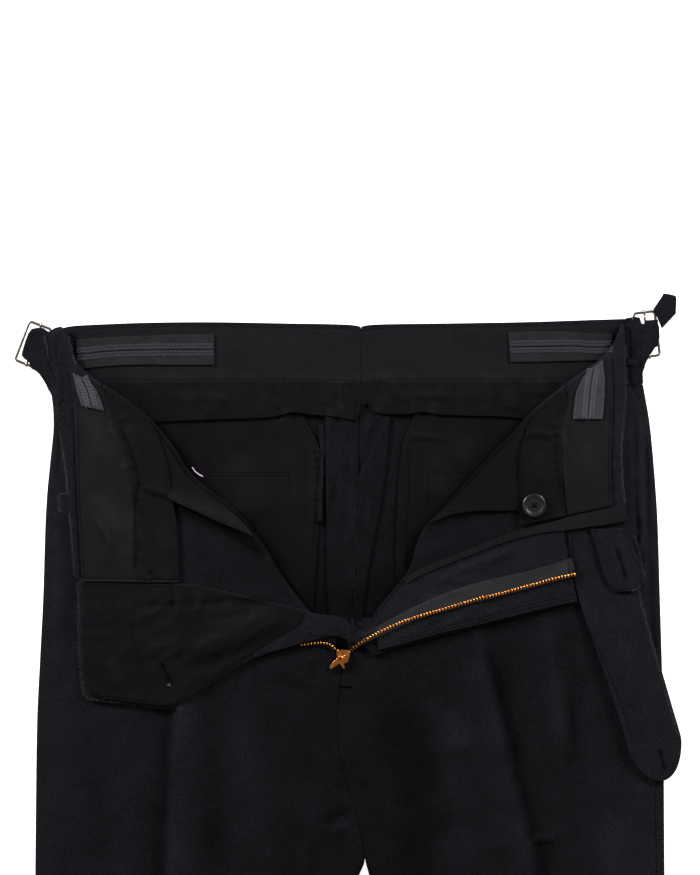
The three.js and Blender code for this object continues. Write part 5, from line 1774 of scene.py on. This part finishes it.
# the fibres: how far off the edge they are strewn, what share of their length each has, and
# how high over the cloth they stand
NAP = {"pitch": 0.13, "length": 1.5, "thick": 0.2, "strewn": 0.6, "share": (0.5, 1.3),
       "over": (0, 0.4)}
NAP_RINGS = ((-0.5, 0.3), (0, 1), (0.5, 0.3))


def make_nap(top):
    """Wool fibres that stand out along the flannel's edges, far paler than the flannel: a painted
    sheen.
    """
    draw = random.Random(41)
    places = []
    for line in NAP_EDGES:
        for here, way in along(line, NAP["pitch"]):
            spot = here + leftward(way) * draw.gauss(0, NAP["strewn"])
            angle = draw.uniform(0, 2 * math.pi)
            places.append(lying(top, *spot, (math.cos(angle), math.sin(angle)),
                                NAP["length"] * draw.uniform(*NAP["share"]), NAP["thick"],
                                NAP["thick"], -draw.uniform(*NAP["over"])))
    joined_copies("edge_nap", template(*capsule(3, NAP_RINGS)), places, NAP_SHEEN_FIBRE, "flannel")


make_camera()
make_stage()
FLANNEL = flannel_material()
LINING = twill_material("lining", LINING_COLOR)
POCKETING = twill_material("pocketing", POCKETING_COLOR)
GRIP = twill_material("grip", GRIP_COLOR, GRIP_CONTRAST)
TAPE = twill_material("zip_tape", TAPE_COLOR, pitch=TAPE_PITCH)
THREAD = thread_material("thread", THREAD_COLOR)
PALE_THREAD = thread_material("pale_thread", PALE_THREAD_COLOR)
GREY_THREAD = thread_material("grey_thread", GREY_THREAD_COLOR)
LILAC_THREAD = thread_material("lilac_thread", LILAC_THREAD_COLOR)
NAP_SHEEN_FIBRE = thread_material("nap_fibre_painted_sheen", NAP_SHEEN_COLOR)
DARK_THREAD_AND_SLIT_SHADE = thread_material("slit", DARK_THREAD_AND_SLIT_SHADE_COLOR)
GRIP_RIB = thread_material("grip_rib", GRIP_RIB_COLOR)
# lit copies of the grip's colours: painted light
GRIP_LIT = twill_material("grip_front", scaled(GRIP_COLOR, GRIP_LIT_TIMES), GRIP_LIT_CONTRAST)
GRIP_RIB_LIT = thread_material("grip_rib_front", scaled(GRIP_RIB_COLOR, GRIP_RIB_LIT_TIMES))
# a shaded copy of the tape's colour: painted shade
PAINTED_SHADE_TAPE = twill_material("zip_tape_painted_shade", scaled(TAPE_COLOR, PAINTED_SHADE_TAPE_TIMES),
                           pitch=TAPE_PITCH)
BRASS = metal_material("brass", *BRASS_COLORS, PLATED)
STEEL = metal_material("steel", *STEEL_COLORS, PLATED)
HORN = horn_material()
SLOTS = {s["node"]: s["material_slot"] for s in frame["record"]["subparts"]}
MATERIAL = {"flannel": FLANNEL, "lining": LINING, "grip_tape": GRIP, "zip_tape": TAPE}
# pieces whose look isn't their slot's; the front grips take painted light and the right zip tape
# painted shade
OWN_LOOKS = {"pocket_bag": POCKETING, "curtain": POCKETING, "shield_lining": POCKETING,
             "grip_tape_front": GRIP_LIT, "zip_tape_right": PAINTED_SHADE_TAPE}
for row in CLOTH:
    slot = SLOTS[row[0]]
    own = [look for start, look in OWN_LOOKS.items() if row[0].startswith(start)]
    make_cloth(*row, own[0] if own else MATERIAL[slot], slot)

make_seams()
for row in BUCKLES:
    make_buckle(*row)
bare_top = top_of_cloth()
for row in PATCHES:
    make_patch(bare_top, *row)
top = top_of_cloth()
make_grips(top)
make_teeth(top)
make_slider()
make_button(top)
make_buttonholes(top)
STITCHED = (("flannel_stitches", FLANNEL_STITCHES, THREAD, "flannel"),
            ("lining_stitches", LINING_STITCHES, THREAD, "lining"),
            ("pale_stitches", PALE_STITCHES, PALE_THREAD, "lining"))
for name, lines, material, slot in STITCHED:
    joined_copies(name, STITCH, stitch_places(top, lines), material, slot)
joined_copies("bar_tacks", STITCH, tack_places(top, *BAR_TACK), PALE_THREAD, "lining")
make_lilac_tack(top)
make_joins(top)
make_nap(top)
joined_copies("fly_tack", STITCH, tack_places(top, *FLY_TACK), DARK_THREAD_AND_SLIT_SHADE, "lining")
